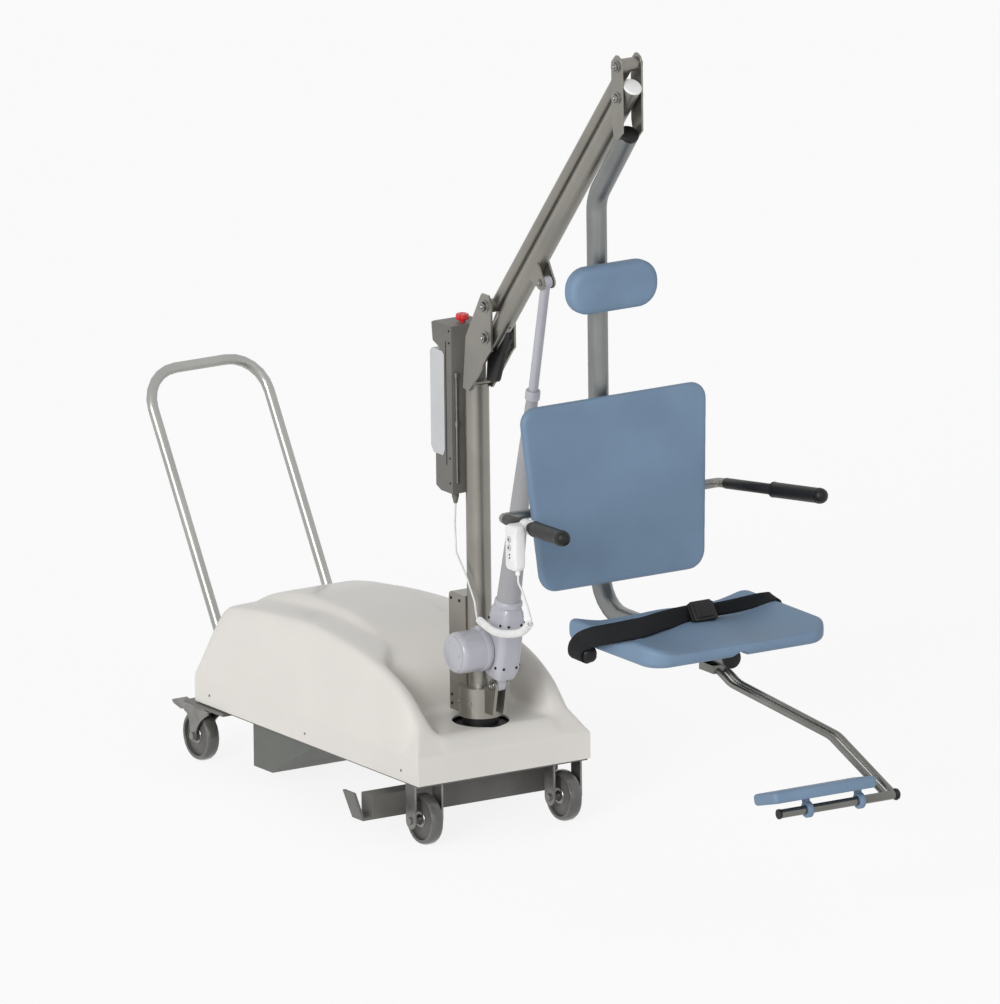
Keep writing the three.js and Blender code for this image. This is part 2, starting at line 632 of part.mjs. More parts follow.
add("chassis_frame", chassisFrame(), finishes.steel);
add("ballast_hopper", ballastHopper(), finishes.darkSteel);
add("ballast_stack", ballastStack(), finishes.iron);
add("cross_beam", crossBeamGeometry(), finishes.darkSteel);
add("cover_shell", coverShell(), finishes.cover);
add("mast_socket", mastSocket(), finishes.black);
add("push_handle", pushHandle(), finishes.stainless);
for (const [side, sign] of Object.entries(sides)) {
  const front = subGroup(lift, frontCaster.x, sign * frontCaster.y, wheel.radius);
  add(`front_fork_${side}`, frontFork(), finishes.steel, front);
  addWheel(side, "front", front);
  const rear = subGroup(lift, rearCaster.x - rearCaster.trail, sign * rearCaster.y, wheel.radius);
  add(`rear_fork_${side}`, rearFork(), finishes.steel, rear);
  addWheel(side, "rear", rear);
  add(`brake_pedal_${side}`, brakePedal(), finishes.darkSteel, rear);
}

// Mast

const mastGroup = subGroup(lift, 0, 0, 0);

function mastTube() {
  const bore = mast.radius - mast.wall;
  return pipe(mast.radius, bore, mast.top - mast.bottom, 32).translate(0, 0, mast.bottom);
}

// The collar, the spine bracket behind the mast and the actuator's lower clevis are one weldment.
function mastCollar() {
  const bore = mast.radius + seatGap;
  const ring = pipe(collar.radius, bore, collar.top - collar.bottom, 32).translate(0, 0, collar.bottom);
  const rear = -mast.radius - spine.depth;
  const profile = new THREE.Shape();
  profile.moveTo(-bore + spine.cornerRadius, collar.bottom);
  profile.lineTo(rear, collar.bottom);
  profile.lineTo(rear, spine.top - spine.cornerRadius);
  profile.quadraticCurveTo(rear, spine.top, rear + spine.cornerRadius, spine.top);
  profile.lineTo(-bore + spine.cornerRadius, spine.top);
  const back = cut(plateXZ(profile, -spine.halfWidth, 2 * spine.halfWidth),
    rod(bore, spine.top, 32).translate(0, 0, overrun));
  const screws = [-50, 0, 50].map((degrees) => {
    const angle = THREE.MathUtils.degToRad(degrees - 60);
    const out = vec(Math.cos(angle), Math.sin(angle), 0);
    const z = (collar.bottom + collar.top) / 2;
    const from = out.clone().multiplyScalar(collar.radius - weldLap).setZ(z);
    return rodBetween(collar.screwRadius, from, from.clone().addScaledVector(out, collar.screwProud + weldLap), 8);
  });
  const ears = [clevis.halfGap, -clevis.halfGap - clevis.thick].map((y) => {
    const ear = new THREE.Shape();
    const base = collar.radius * 0.72;
    ear.moveTo(base, collar.top);
    ear.lineTo(base, collar.bottom + clevis.radius);
    ear.lineTo(actuator.x, collar.bottom + clevis.radius);
    ear.lineTo(actuator.x + clevis.radius, actuator.z);
    ear.absarc(actuator.x, actuator.z, clevis.radius, 0, Math.PI);
    return plateXZ(ear, y, clevis.thick);
  });
  const reach = clevis.halfGap + clevis.thick;
  const pin = crossRod(clevis.pinRadius, actuator.x, 0, actuator.z, 2 * (reach + collar.screwProud), 16);
  return joined(ring, back, ...screws, ...ears, pin);
}

// Two side plates welded to the mast's head and joined by the cap on its end.
function mastHead() {
  const { x, z } = boomPivot;
  const outline = headPlate.outline.map(([dx, dz]) => [x + dx, z + dz]);
  const inner = headPlate.halfGap;
  const plates = [inner, -inner - headPlate.thick].map((y) => plateXZ(outline, y, headPlate.thick));
  const cap = block([-mast.radius / 6, -inner - weldLap, mast.top + seatGap],
    [mast.radius - headPlate.capThick, inner + weldLap, mast.top + seatGap + headPlate.capThick]);
  const holes = [z, z + linkRise].map((height) =>
    crossRod(boomPivot.boltRadius + runningGap, x, 0, height, 2 * (inner + headPlate.thick + overrun), 16));
  return cut(joined(...plates, cap), ...holes);
}

function controlBoxGeometry() {
  const { frontX, halfWidth, bottom, top } = controlBox;
  const rear = frontX - controlBox.depth;
  const hoodRear = rear - controlBox.hoodDepth;
  const outline = [
    [frontX, bottom], [frontX, top], [hoodRear + controlBox.edge * 2, top], [hoodRear, top - controlBox.edge],
    [hoodRear + controlBox.edge, top - controlBox.hoodHeight * 0.8], [rear, top - controlBox.hoodHeight],
    [rear, bottom + controlBox.tailHeight], [rear - controlBox.tailDepth, bottom + controlBox.tailHeight],
    [rear - controlBox.tailDepth, bottom + controlBox.edge * 2], [rear, bottom],
  ];
  const body = plateXZ(outline, -halfWidth, 2 * halfWidth);
  const pads = [0.25, 0.8].map((share) => {
    const z = THREE.MathUtils.lerp(bottom, top, share);
    return block([frontX - weldLap, -controlBox.standoffHalf, z - controlBox.standoffHalf],
      [frontX + controlBox.standoff, controlBox.standoffHalf, z + controlBox.standoffHalf]);
  });
  const gland = lathe([
    [0, 0], [controlBox.glandRadius * 0.5, 0], [controlBox.glandRadius, controlBox.glandLength * 0.6],
    [controlBox.glandRadius, controlBox.glandLength + weldLap], [0, controlBox.glandLength + weldLap],
  ], 12).translate(controlBox.glandX, controlBox.glandY, bottom - controlBox.glandLength);
  const saddle = rod(mast.radius + seatGap, top, 32).translate(0, 0, overrun);
  const buttonHole = rod(stopButton.stemRadius + runningGap, 2 * overrun + stopButton.stem, 16)
    .translate(stopButton.x, 0, top - stopButton.stem);
  return cut(joined(body, ...pads, gland), saddle, buttonHole);
}

function batteryPack() {
  const rear = controlBox.frontX - controlBox.depth;
  const bottom = controlBox.bottom + controlBox.tailHeight + seatGap;
  const top = controlBox.top - controlBox.hoodHeight - battery.gap;
  const back = rear - seatGap - controlBox.hoodDepth - battery.corner / 2;
  const front = rear + battery.depth - controlBox.hoodDepth;
  const shell = plateXZ([
    [front, bottom + battery.corner * 2], [front, top - battery.corner], [front - battery.corner, top],
    [back + battery.corner, top], [back, top - battery.corner], [back, bottom + battery.corner * 2],
    [back + battery.corner * 1.6, bottom], [front - battery.corner, bottom],
  ], -battery.halfWidth, 2 * battery.halfWidth);
  const room = block([rear - seatGap, -controlBox.halfWidth - seatGap, bottom - overrun],
    [front + overrun, controlBox.halfWidth + seatGap, top + overrun]);
  return cut(shell, room);
}

function stopButtonGeometry() {
  return lathe([
    [0, -stopButton.stem + stopButton.travel + weldLap], [stopButton.stemRadius, -stopButton.stem + stopButton.travel + weldLap],
    [stopButton.stemRadius, stopButton.travel + seatGap], [stopButton.radius, stopButton.travel + seatGap],
    [stopButton.radius, stopButton.height], [stopButton.radius * 0.8, stopButton.height + stopButton.travel],
    [0, stopButton.height + stopButton.travel * 1.4],
  ], 20).translate(stopButton.x, 0, controlBox.top);
}

const headHalf = headPlate.halfGap + headPlate.thick;
const pivotBolt = (z) => throughBolt(boomPivot.boltRadius, boomPivot.nutRadius, boomPivot.nutHeight, boomPivot.x, z, headHalf);
add("mast_tube", mastTube(), finishes.steel, mastGroup);
add("mast_collar", mastCollar(), finishes.steel, mastGroup);
add("mast_head", mastHead(), finishes.steel, mastGroup);
add("boom_pivot_bolt", pivotBolt(boomPivot.z), finishes.stainless, mastGroup);
add("link_pivot_bolt", pivotBolt(boomPivot.z + linkRise), finishes.stainless, mastGroup);
add("control_box", controlBoxGeometry(), finishes.boxGrey, mastGroup);
add("battery_pack", batteryPack(), finishes.batteryGrey, mastGroup);
add("emergency_button", stopButtonGeometry(), finishes.red, mastGroup);

// Boom and upper link, each along its own group's X axis

const boomAngle = THREE.MathUtils.degToRad(boom.angle);
const boomGroup = subGroup(mastGroup, boomPivot.x, 0, boomPivot.z);
const linkGroup = subGroup(mastGroup, boomPivot.x, 0, boomPivot.z + linkRise);
boomGroup.rotation.y = -boomAngle;
linkGroup.rotation.y = -boomAngle;

function boomTube() {
  const bore = boom.radius - boom.wall;
  const pipeLength = boom.tail + boom.length + boom.nose;
  const tube = aimed(pipe(boom.radius, bore, pipeLength, 24), vec(-boom.tail, 0, 0), vec(1, 0, 0));
  const shaped = rodBetween(boom.radius - boom.wall / 2, vec(-boom.tail + seatGap, 0, 0), vec(boom.tail, 0, 0), 24);
  const sleeve = rodBetween(boom.radius - boom.wall / 2, vec(boom.length - boom.tail, 0, 0),
    vec(boom.length + boom.nose / 2, 0, 0), 24);
  const { along, below, halfGap, thick, radius, length } = boomLug;
  const ears = [halfGap, -halfGap - thick].map((y) => {
    const ear = new THREE.Shape();
    ear.moveTo(along - length / 2, -boom.radius * 0.6);
    ear.lineTo(along - radius, -below);
    ear.absarc(along, -below, radius, Math.PI, 2 * Math.PI);
    ear.lineTo(along + length / 2, -boom.radius * 0.6);
    return plateXZ(ear, y, thick);
  });
  const stubs = [-1, 1].map((side) =>
    crossRod(boomLug.boltRadius, along, side * (halfGap + thick), -below, 2 * (thick - seatGap), 12));
  const hole = (x) => crossRod(boomPivot.boltRadius + runningGap, x, 0, 0, 2 * (boom.radius + overrun), 16);
  const drain = rodBetween(boom.wall, vec(boom.tail * 2, 0, -boom.radius - overrun), vec(boom.tail * 2, 0, 0), 8);
  return cut(joined(tube, shaped, sleeve, ...ears, ...stubs), hole(0), hole(boom.length), drain);
}

function boomStopGeometry() {
  const wedge = plateXZ(boomStop.outline, -boomStop.halfWidth, 2 * boomStop.halfWidth);
  const tube = rodBetween(boom.radius + seatGap, vec(-boom.tail - seatGap, 0, 0), vec(boom.length, 0, 0), 24);
  const nut = crossRod(boomPivot.boltRadius + seatGap, 0, 0, 0, 2 * (boomStop.halfWidth + overrun), 16);
  return cut(wedge, tube, nut);
}

function boomCap() {
  const start = boom.length + boom.nose + seatGap;
  const cap = lathe([[0, 0], [boom.radius, 0], [boom.radius, boom.capLength * 0.6], [boom.radius * 0.86, boom.capLength],
    [0, boom.capLength]], 24);
  return aimed(cap, vec(start, 0, 0), vec(start + 1, 0, 0));
}

function upperLinkGeometry() {
  const eyeHalf = carrier.halfGap - runningGap;
  const bar = rodBetween(upperLink.radius, vec(0, 0, 0), vec(boom.length, 0, 0), 20);
  const eyes = [0, boom.length].map((x) => crossRod(upperLink.eyeRadius, x, 0, 0, 2 * eyeHalf, 20));
  const holes = [0, boom.length].map((x) => crossRod(upperLink.eyeBore, x, 0, 0, 2 * (eyeHalf + overrun), 16));
  return cut(joined(bar, ...eyes), ...holes);
}

add("boom_tube", boomTube(), finishes.steel, boomGroup);
add("boom_end_cap", boomCap(), finishes.white, boomGroup);
add("stop_bracket", boomStopGeometry(), finishes.black, boomGroup);
add("upper_link", upperLinkGeometry(), finishes.steel, linkGroup);

// Chair carrier: head plates, seat post and what it holds

const headPivot = {
  x: boomPivot.x + boom.length * Math.cos(boomAngle),
  z: boomPivot.z + boom.length * Math.sin(boomAngle),
};
const carrierGroup = subGroup(mastGroup, 0, 0, 0);

function carrierPlate(sign) {
  const { x, z } = headPivot;
  const { halfWidth, above, below, chamfer } = carrier;
  const top = z + linkRise + above;
  const bottom = z - below;
  const outline = [
    [x - halfWidth, bottom + chamfer * 2], [x - halfWidth * 0.6, bottom], [x + halfWidth - chamfer, bottom],
    [x + halfWidth, bottom + chamfer], [x + halfWidth, top - chamfer], [x + halfWidth - chamfer / 3, top - chamfer / 3],
    [x + halfWidth - chamfer, top], [x - halfWidth + chamfer, top], [x - halfWidth, top - chamfer],
  ];
  const y = sign > 0 ? carrier.halfGap : -carrier.halfGap - carrier.thick;
  const holes = [z, z + linkRise].map((height) =>
    crossRod(carrier.boltRadius + runningGap, x, 0, height, 2 * (carrier.halfGap + carrier.thick + overrun), 16));
  return cut(plateXZ(outline, y, carrier.thick), ...holes);
}

// The post's centre line, from between the head plates to under the seat.
function postCorners() {
  return [
    vec(headPivot.x + post.ahead, 0, headPivot.z - post.drop), vec(post.x, 0, post.kneeZ),
    vec(post.x, 0, post.footZ), vec(post.frontX, 0, post.footZ),
  ];
}

function backrestPlace() {
  const slope = (backrest.bottomX - backrest.topX) / (backrest.topZ - backrest.bottomZ);
  const at = (z) => backrest.topX + (backrest.topZ - z) * slope;
  return { slope, at };
}

function seatPost() {
  const [top, knee, foot, front] = postCorners();
  const bore = post.radius - post.wall;
  const path = new BentPath([top, knee, foot, front], post.footRadius, 6);
  const tube = bentTube(path, post.radius, bore, 14);
  const half = arm.halfSpread - seatGap;
  const armBore = arm.spigotRadius + runningGap;
  const crossbar = aimed(pipe(arm.radius, armBore, 2 * half, 16), vec(arm.x, -half, arm.z), vec(arm.x, half, arm.z));
  const reach = (x, z, size) => block([post.x + post.radius - post.wall, -size, z - size], [x, size, z + size]);
  const { at } = backrestPlace();
  const face = backrest.thick / 2 + seatGap + weldLap;
  const brackets = [
    reach(headrest.x - headrest.thick / 2 - seatGap, headrest.z, headrest.standoff),
    reach(at(backrest.topZ - backrest.corner * 2) - face, backrest.topZ - backrest.corner * 2, headrest.standoff),
    reach(at(backrest.bottomZ + backrest.corner * 2) - face, backrest.bottomZ + backrest.corner * 2, headrest.standoff),
    reach(arm.x, arm.z, arm.radius),
  ];
  const plateTop = seat.top - seat.thick - seatGap;
  const plate = rod(seatPlate.radius, seatPlate.thick, 28).translate(seatPlate.x, 0, plateTop - seatPlate.thick);
  return joined(tube, cut(crossbar), ...brackets, plate);
}

function endPlug(place, away, length) {
  const plug = lathe([[0, seatGap], [post.radius, seatGap], [post.radius, length * 0.7], [post.radius * 0.8, length], [0, length]], 20);
  return aimed(plug, place, place.clone().add(away));
}

function backrestPad() {
  const height = backrest.topZ - backrest.bottomZ;
  const outline = roundedOutline(backrest.bottomWidth, backrest.topWidth, height, backrest.corner);
  const { slope } = backrestPlace();
  const middleX = (backrest.topX + backrest.bottomX) / 2;
  const middleZ = (backrest.topZ + backrest.bottomZ) / 2;
  const lean = Math.hypot(1, slope);
  return loft(padRings(outline, backrest.thick, (u, v, w) =>
    vec(middleX + w / lean - v * slope, u, middleZ + v + (w * slope) / lean)));
}

function headrestPad() {
  const outline = roundedOutline(headrest.width, headrest.width, headrest.height, headrest.corner);
  return loft(padRings(outline, headrest.thick, (u, v, w) => vec(headrest.x + w, u, headrest.z + v)));
}

// The seat's upper side is dished for each thigh and rolls down at its front edge.
function seatPad() {
  const length = seat.frontX - seat.rearX;
  const outline = roundedOutline(seat.width, seat.width, length, seat.corner);
  const middleX = (seat.frontX + seat.rearX) / 2;
  const middleZ = seat.top - seat.thick / 2;
  const pad = loft(padRings(outline, seat.thick, (u, v, w) => {
    const across = (2 * u) / seat.width;
    const along = (2 * v) / length;
    const hollow = (1 - across ** 4) * (0.75 + 0.25 * Math.max(0, along)) - Math.cos(across * Math.PI * 2) * 0.12;
    const raise = w > 0 ? -seat.dish * hollow * Math.min(1, (2 * w) / seat.thick) : 0;
    return vec(middleX + v, u, middleZ + w + raise);
  }));
  const channelRadius = post.radius + seat.channelGap;
  const channel = rodBetween(channelRadius, vec(seat.rearX - overrun, 0, post.footZ),
    vec(seat.frontX + overrun, 0, post.footZ), 20);
  return cut(pad, channel);
}

// The belt is held at both sides of the seat and arches over it. Its width stays along X.
function beltPoints() {
  const halfSpan = seat.width / 2 + belt.sideGap + belt.thick / 2;
  const footZ = seat.top - seat.thick + belt.footRise;
  return belt.spanShares.map((span, i) => vec(
    THREE.MathUtils.lerp(belt.rearX, belt.frontX, belt.reachShares[i]), span * halfSpan,
    THREE.MathUtils.lerp(footZ, seat.top + belt.arch, belt.riseShares[i])));
}

function lapBelt() {
  const route = new THREE.CatmullRomCurve3(beltPoints(), false, "centripetal");
  const steps = 36;
  const half = belt.width / 2;
  const rings = Array.from({ length: steps + 1 }, (_, k) => {
    const place = route.getPoint(k / steps);
    const along = route.getTangent(k / steps);
    const out = vec(1, 0, 0).cross(along).normalize().multiplyScalar(belt.thick / 2);
    const corners = [[half, 1], [half, -1], [-half, -1], [-half, 1]];
    return corners.map(([across, side]) => place.clone().add(vec(across, 0, 0)).addScaledVector(out, side));
  });
  return loft(rings);
}

function beltBuckle(strap) {
  strap.computeBoundingBox();
  const z = strap.boundingBox.max.z + seatGap;
  const x = THREE.MathUtils.lerp(belt.rearX, belt.frontX, buckle.reachShare);
  const half = buckle.width / 2;
  const outline = [
    [x - half, z], [x + half, z], [x + half, z + buckle.thick * 0.6], [x + half * 0.8, z + buckle.thick],
    [x - half * 0.8, z + buckle.thick], [x - half, z + buckle.thick * 0.6],
  ];
  return plateXZ(outline, buckle.y - buckle.length / 2, buckle.length);
}

function armCorners(sign) {
  return [vec(0, 0, 0), vec(0, sign * arm.elbow, 0), vec(arm.forward, sign * (arm.elbow + arm.outward), arm.rise)];
}

function armTube(sign) {
  const tube = bentTube(new BentPath(armCorners(sign), arm.elbow, 6), arm.radius, 0, 12);
  const spigot = rodBetween(arm.spigotRadius, vec(0, -sign * arm.stub, 0), vec(0, sign * weldLap, 0), 16);
  return joined(tube, spigot);
}

function gripStart(sign) {
  const [, from, tip] = armCorners(sign);
  return tip.clone().sub(from).setLength(tip.distanceTo(from) - arm.gripLength).add(from);
}

// A moulded grip pushed over the end of the arm, closed at the tip.
function armGrip(sign) {
  const tip = armCorners(sign)[2];
  const bore = arm.radius + seatGap;
  const inside = arm.gripLength + seatGap;
  const round = arm.gripRadius * 0.6;
  const grip = lathe([
    [bore, 0], [arm.gripRadius - weldLap * 2, 0], [arm.gripRadius, weldLap * 2], [arm.gripRadius, inside],
    [arm.gripRadius * 0.86, inside + round * 0.6], [arm.gripRadius * 0.5, inside + round], [0, inside + round * 1.1],
    [0, inside], [bore, inside], [bore, 0],
  ], 20);
  return aimed(grip, gripStart(sign), tip);
}

// Two thin tubes from under the seat to the right end of the foot bar.
function footrestFrame() {
  const postBottom = post.footZ - post.radius - seatGap;
  const startZ = postBottom - footrest.clampSide;
  const runX = footrest.endX - footrest.x;
  const tubes = Object.values(sides).map((side) => {
    const offset = (side * footrest.spread) / 2;
    const corners = [vec(footrest.x - footrest.clampLength, offset, startZ), vec(footrest.x, offset, startZ)];
    footrest.runShares.forEach((share, i) => {
      corners.push(vec(footrest.x + runX * share, footrest.endY * share + offset,
        THREE.MathUtils.lerp(startZ, footrest.barZ, footrest.dropShares[i])));
    });
    return bentTube(new BentPath(corners, footrest.bendRadius, 4), footrest.radius, 0, 8);
  });
  const clamp = block([footrest.x - footrest.clampLength, -footrest.spread, startZ - footrest.clampSide],
    [footrest.x, footrest.spread, postBottom]);
  const bar = rodBetween(footrest.barRadius, vec(footrest.endX, footrest.barLeft, footrest.barZ),
    vec(footrest.endX, footrest.barRight, footrest.barZ), 16);
  return joined(clamp, bar, ...tubes);
}

// The board is made flat about its bar and then tilted, toes up.
function footboardGeometry() {
  const outline = roundedOutline(footboard.depth, footboard.depth, footboard.width, footboard.corner, 3);
  const pad = loft(padRings(outline, footboard.thick, (u, v, w) =>
    vec(u + footboard.forward, v + footboard.offset, w + footboard.lift)));
  const clampOuter = footrest.barRadius + runningGap + footboard.bracket / 2;
  const clips = Object.values(sides).flatMap((side) => {
    const y = footboard.bracketY + side * footboard.bracketSpread;
    const half = footboard.bracket / 2;
    const ring = crossRod(clampOuter, 0, y, 0, footboard.bracket, 14);
    const neck = block([-half * 3, y - half, 0], [half, y + half, footboard.lift]);
    return [ring, neck];
  });
  const hole = crossRod(footrest.barRadius + runningGap, 0, footboard.offset, 0, footboard.width + 2 * overrun, 16);
  return cut(joined(pad, ...clips), hole).rotateY(-THREE.MathUtils.degToRad(footboard.tilt));
}

for (const [side, sign] of Object.entries(sides)) {
  add(`head_plate_${side}`, carrierPlate(sign), finishes.steel, carrierGroup);
}
const headSpan = carrier.halfGap + carrier.thick;
const headBolt = (z) => throughBolt(carrier.boltRadius, carrier.nutRadius, carrier.nutHeight, headPivot.x, z, headSpan);
add("head_bolt_lower", headBolt(headPivot.z), finishes.stainless, carrierGroup);
add("head_bolt_upper", headBolt(headPivot.z + linkRise), finishes.stainless, carrierGroup);
add("seat_post", seatPost(), finishes.stainless, carrierGroup);
const [postTop, postKnee, postFoot, postFront] = postCorners();
add("post_cap", endPlug(postTop, postTop.clone().sub(postKnee).normalize(), post.capLength), finishes.black, carrierGroup);
add("post_plug", endPlug(postFront, postFront.clone().sub(postFoot).normalize(), post.plugLength), finishes.black, carrierGroup);
add("headrest_pad", headrestPad(), finishes.blue, carrierGroup);
add("backrest", backrestPad(), finishes.blue, carrierGroup);
add("seat", seatPad(), finishes.blue, carrierGroup);
const strap = lapBelt();
add("lap_belt", strap, finishes.webbing, carrierGroup);
add("belt_buckle", beltBuckle(strap), finishes.black, carrierGroup);
for (const [side, sign] of Object.entries(sides)) {
  const group = subGroup(carrierGroup, arm.x, sign * arm.halfSpread, arm.z);
  add(`arm_${side}`, armTube(sign), finishes.stainless, group);
  add(`grip_${side}`, armGrip(sign), finishes.black, group);
}
add("footrest_frame", footrestFrame(), finishes.stainless, carrierGroup);
const boardGroup = subGroup(carrierGroup, footrest.endX, 0, footrest.barZ);
add("footboard", footboardGeometry(), finishes.blue, boardGroup);

// Actuator, along its own group's Z axis from the lower clevis to the boom's lug

const lugX = boomPivot.x + boomLug.along * Math.cos(boomAngle) + boomLug.below * Math.sin(boomAngle);
const lugZ = boomPivot.z + boomLug.along * Math.sin(boomAngle) - boomLug.below * Math.cos(boomAngle);
const actuatorLength = Math.hypot(lugX - actuator.x, lugZ - actuator.z);
const actuatorGroup = subGroup(mastGroup, actuator.x, 0, actuator.z);
actuatorGroup.rotation.y = Math.atan2(lugX - actuator.x, lugZ - actuator.z);

const tubeStart = actuator.bodyEnd + seatGap;
const housingRings = [[0.5, 0], [0.82, 0.03], [0.96, 0.12], [1, 0.2], [1, 0.8], [0.92, 0.93], [0.76, 1]];
function actuatorHousing() {
  const { bodyHalfX, bodyHalfY, bodyStart, bodyEnd, bodyCorner, eyeRadius, eyeHalf } = actuator;
  const outline = roundedOutline(2 * bodyHalfX, 2 * bodyHalfX, 2 * bodyHalfY, bodyCorner, 4);
  const body = loft(housingRings.map(([scale, t]) =>
    outline.map(([u, v]) => vec(u * scale, v * scale, THREE.MathUtils.lerp(bodyStart, bodyEnd, t)))));
  const shank = block([-eyeRadius, -eyeHalf, 0], [eyeRadius, eyeHalf, bodyStart + weldLap]);
  const eye = crossRod(eyeRadius, 0, 0, 0, 2 * eyeHalf, 16);
  const hole = crossRod(clevis.pinRadius + runningGap, 0, 0, 0, 2 * (eyeHalf + overrun), 16);
  return cut(joined(body, shank, eye), hole);
}

function actuatorMotor() {
  const { radius, end, capInset, offset, along } = motor;
  const start = actuator.bodyHalfY + seatGap;
  const body = lathe([
    [0, start], [radius * 0.9, start], [radius, start + capInset / 2], [radius, end - capInset * 1.5],
    [radius * 0.94, end - capInset / 2], [radius * 0.78, end], [0, end],
  ], 28);
  return aimed(body, vec(offset, 0, along), vec(offset, -1, along));
}

function actuatorTube() {
  const { tubeEnd, tubeRadius, tubeTopRadius, rodRadius } = actuator;
  const bore = rodRadius + runningGap;
  return lathe([
    [bore, tubeStart], [tubeRadius, tubeStart], [tubeRadius, tubeStart + tubeRadius], [tubeTopRadius, tubeEnd - tubeRadius],
    [tubeTopRadius, tubeEnd], [bore, tubeEnd], [bore, tubeStart],
  ], 24);
}

// The rod starts above the foot of its tube, by more than it slides down.
function actuatorRod() {
  const { rodRadius, rodEyeRadius, rodStroke } = actuator;
  const start = tubeStart + rodStroke + rodRadius;
  const shaft = rod(rodRadius, actuatorLength - start, 20).translate(0, 0, start);
  const eye = crossRod(rodEyeRadius, 0, 0, actuatorLength, 2 * (boomLug.halfGap - boomLug.thick / 2), 16);
  return joined(shaft, eye);
}

add("actuator_housing", actuatorHousing(), finishes.lavender, actuatorGroup);
add("actuator_motor", actuatorMotor(), finishes.lavender, actuatorGroup);
add("actuator_tube", actuatorTube(), finishes.lavender, actuatorGroup);
add("actuator_rod", actuatorRod(), finishes.lavender, actuatorGroup);

// Handset, hung on the left arm's bar, and its cord

function handsetPlace() {
  const [, elbow, tip] = armCorners(sides.left);
  return elbow.lerp(tip, handset.barShare);
}

function handsetGeometry() {
  const { width, thick, corner, above, below, standoff, hookRadius, hookLength, hookOpening } = handset;
  const outline = roundedOutline(width, width, above + below, corner, 3);
  const body = loft(padRings(outline, thick, (u, v, w) => vec(u, -standoff - thick / 2 - w, v + (above - below) / 2)));
  const [, elbow, tip] = armCorners(sides.left);
  const along = tip.clone().sub(elbow).normalize();
  const ends = [-1, 1].map((end) => along.clone().multiplyScalar((end * hookLength) / 2));
  const ring = rodBetween(hookRadius, ...ends, 20);
  const bridge = block([-hookLength / 2, -standoff - thick / 4, -hookRadius / 2], [hookLength / 2, -arm.radius, above - seatGap * 5]);
  const bore = rodBetween(arm.radius + runningGap, ...ends.map((end) => end.clone().multiplyScalar(2)), 20);
  const mouth = block([-hookLength, 0, -hookRadius * 2], [hookLength, hookRadius * 2, hookOpening / 2 - hookRadius]);
  const nozzle = rod(handset.nozzleRadius, handset.nozzleLength + corner, 12)
    .translate(handset.nozzleX, -standoff - thick / 2, -below - handset.nozzleLength);
  return cut(joined(body, ring, bridge, nozzle), bore, mouth);
}

// A piece of cord along the route, held back by the seat gap at its two ends.
function cordPiece(places) {
  const last = places.length - 1;
  const start = places[0].clone().add(places[1].clone().sub(places[0]).setLength(seatGap));
  const end = places[last].clone().add(places[last - 1].clone().sub(places[last]).setLength(seatGap));
  const path = new BentPath([start, ...places.slice(1, last), end], cord.bendRadius, 4);
  return bentTube(path, cord.radius, 0, cord.sides);
}

const curlPath = new THREE.CatmullRomCurve3(curlRoute.map((place) => vec(...place)), false, "centripetal");

// The plain pieces leave the curly one along its own direction.
function upperCord() {
  const meet = curlPath.getPointAt(0);
  const lead = meet.clone().addScaledVector(curlPath.getTangentAt(0), -cord.lead);
  return cordPiece([...upperCordRoute.map((place) => vec(...place)), lead, meet]);
}

function lowerCord() {
  const meet = curlPath.getPointAt(1);
  const lead = meet.clone().addScaledVector(curlPath.getTangentAt(1), cord.lead);
  return cordPiece([meet, lead, ...lowerCordRoute.map((place) => vec(...place))]);
}

// One unbroken helix about the route. It starts and ends straight along it, for one cord diameter.
function curlyCord() {
  const route = curlPath;
  const length = route.getLength();
  const lead = (2 * cord.radius) / length;
  const hold = seatGap / length;
  const total = curl.turns * curl.steps;
  const centres = [];
  const frames = [];
  for (let k = 0; k <= total; k++) {
    const t = THREE.MathUtils.lerp(lead, 1 - lead, k / total);
    const ramp = Math.min(1, k / curl.steps, (total - k) / curl.steps);
    const along = route.getTangentAt(t);
    const side = along.clone().cross(vec(0, 0, 1)).normalize();
    const up = side.clone().cross(along);
    const turn = (2 * Math.PI * k) / curl.steps;
    centres.push(route.getPointAt(t)
      .addScaledVector(side, curl.radius * ramp * Math.cos(turn))
      .addScaledVector(up, curl.radius * ramp * Math.sin(turn)));
    frames.push(along);
  }
  centres.unshift(route.getPointAt(hold));
  frames.unshift(route.getTangentAt(0));
  centres.push(route.getPointAt(1 - hold));
  frames.push(route.getTangentAt(1));
  const rings = centres.map((centre, i) => {
    const before = centres[Math.max(i - 1, 0)];
    const after = centres[Math.min(i + 1, centres.length - 1)];
    const edge = i === 0 || i === centres.length - 1;
    const along = edge ? frames[i] : after.clone().sub(before).normalize();
    const side = along.clone().cross(frames[i].clone().cross(vec(0, 0, 1)).cross(frames[i])).normalize();
    const up = side.clone().cross(along);
    return Array.from({ length: curl.sides }, (_, j) => {
      const angle = (2 * Math.PI * j) / curl.sides;
      return centre.clone().addScaledVector(side, cord.radius * Math.cos(angle))
        .addScaledVector(up, cord.radius * Math.sin(angle));
    });
  });
  reportCurlGap(centres);
  return loft(rings);
}

// The least gap between turns, between centre points at least half a turn apart.
function reportCurlGap(centres) {
  let least = Infinity;
  for (let i = 0; i < centres.length; i++) {
    for (let j = i + curl.steps / 2; j < centres.length; j++) {
      least = Math.min(least, centres[i].distanceTo(centres[j]));
    }
  }
  console.log("least gap of the curly cord to itself", (least - 2 * cord.radius).toFixed(2));
}

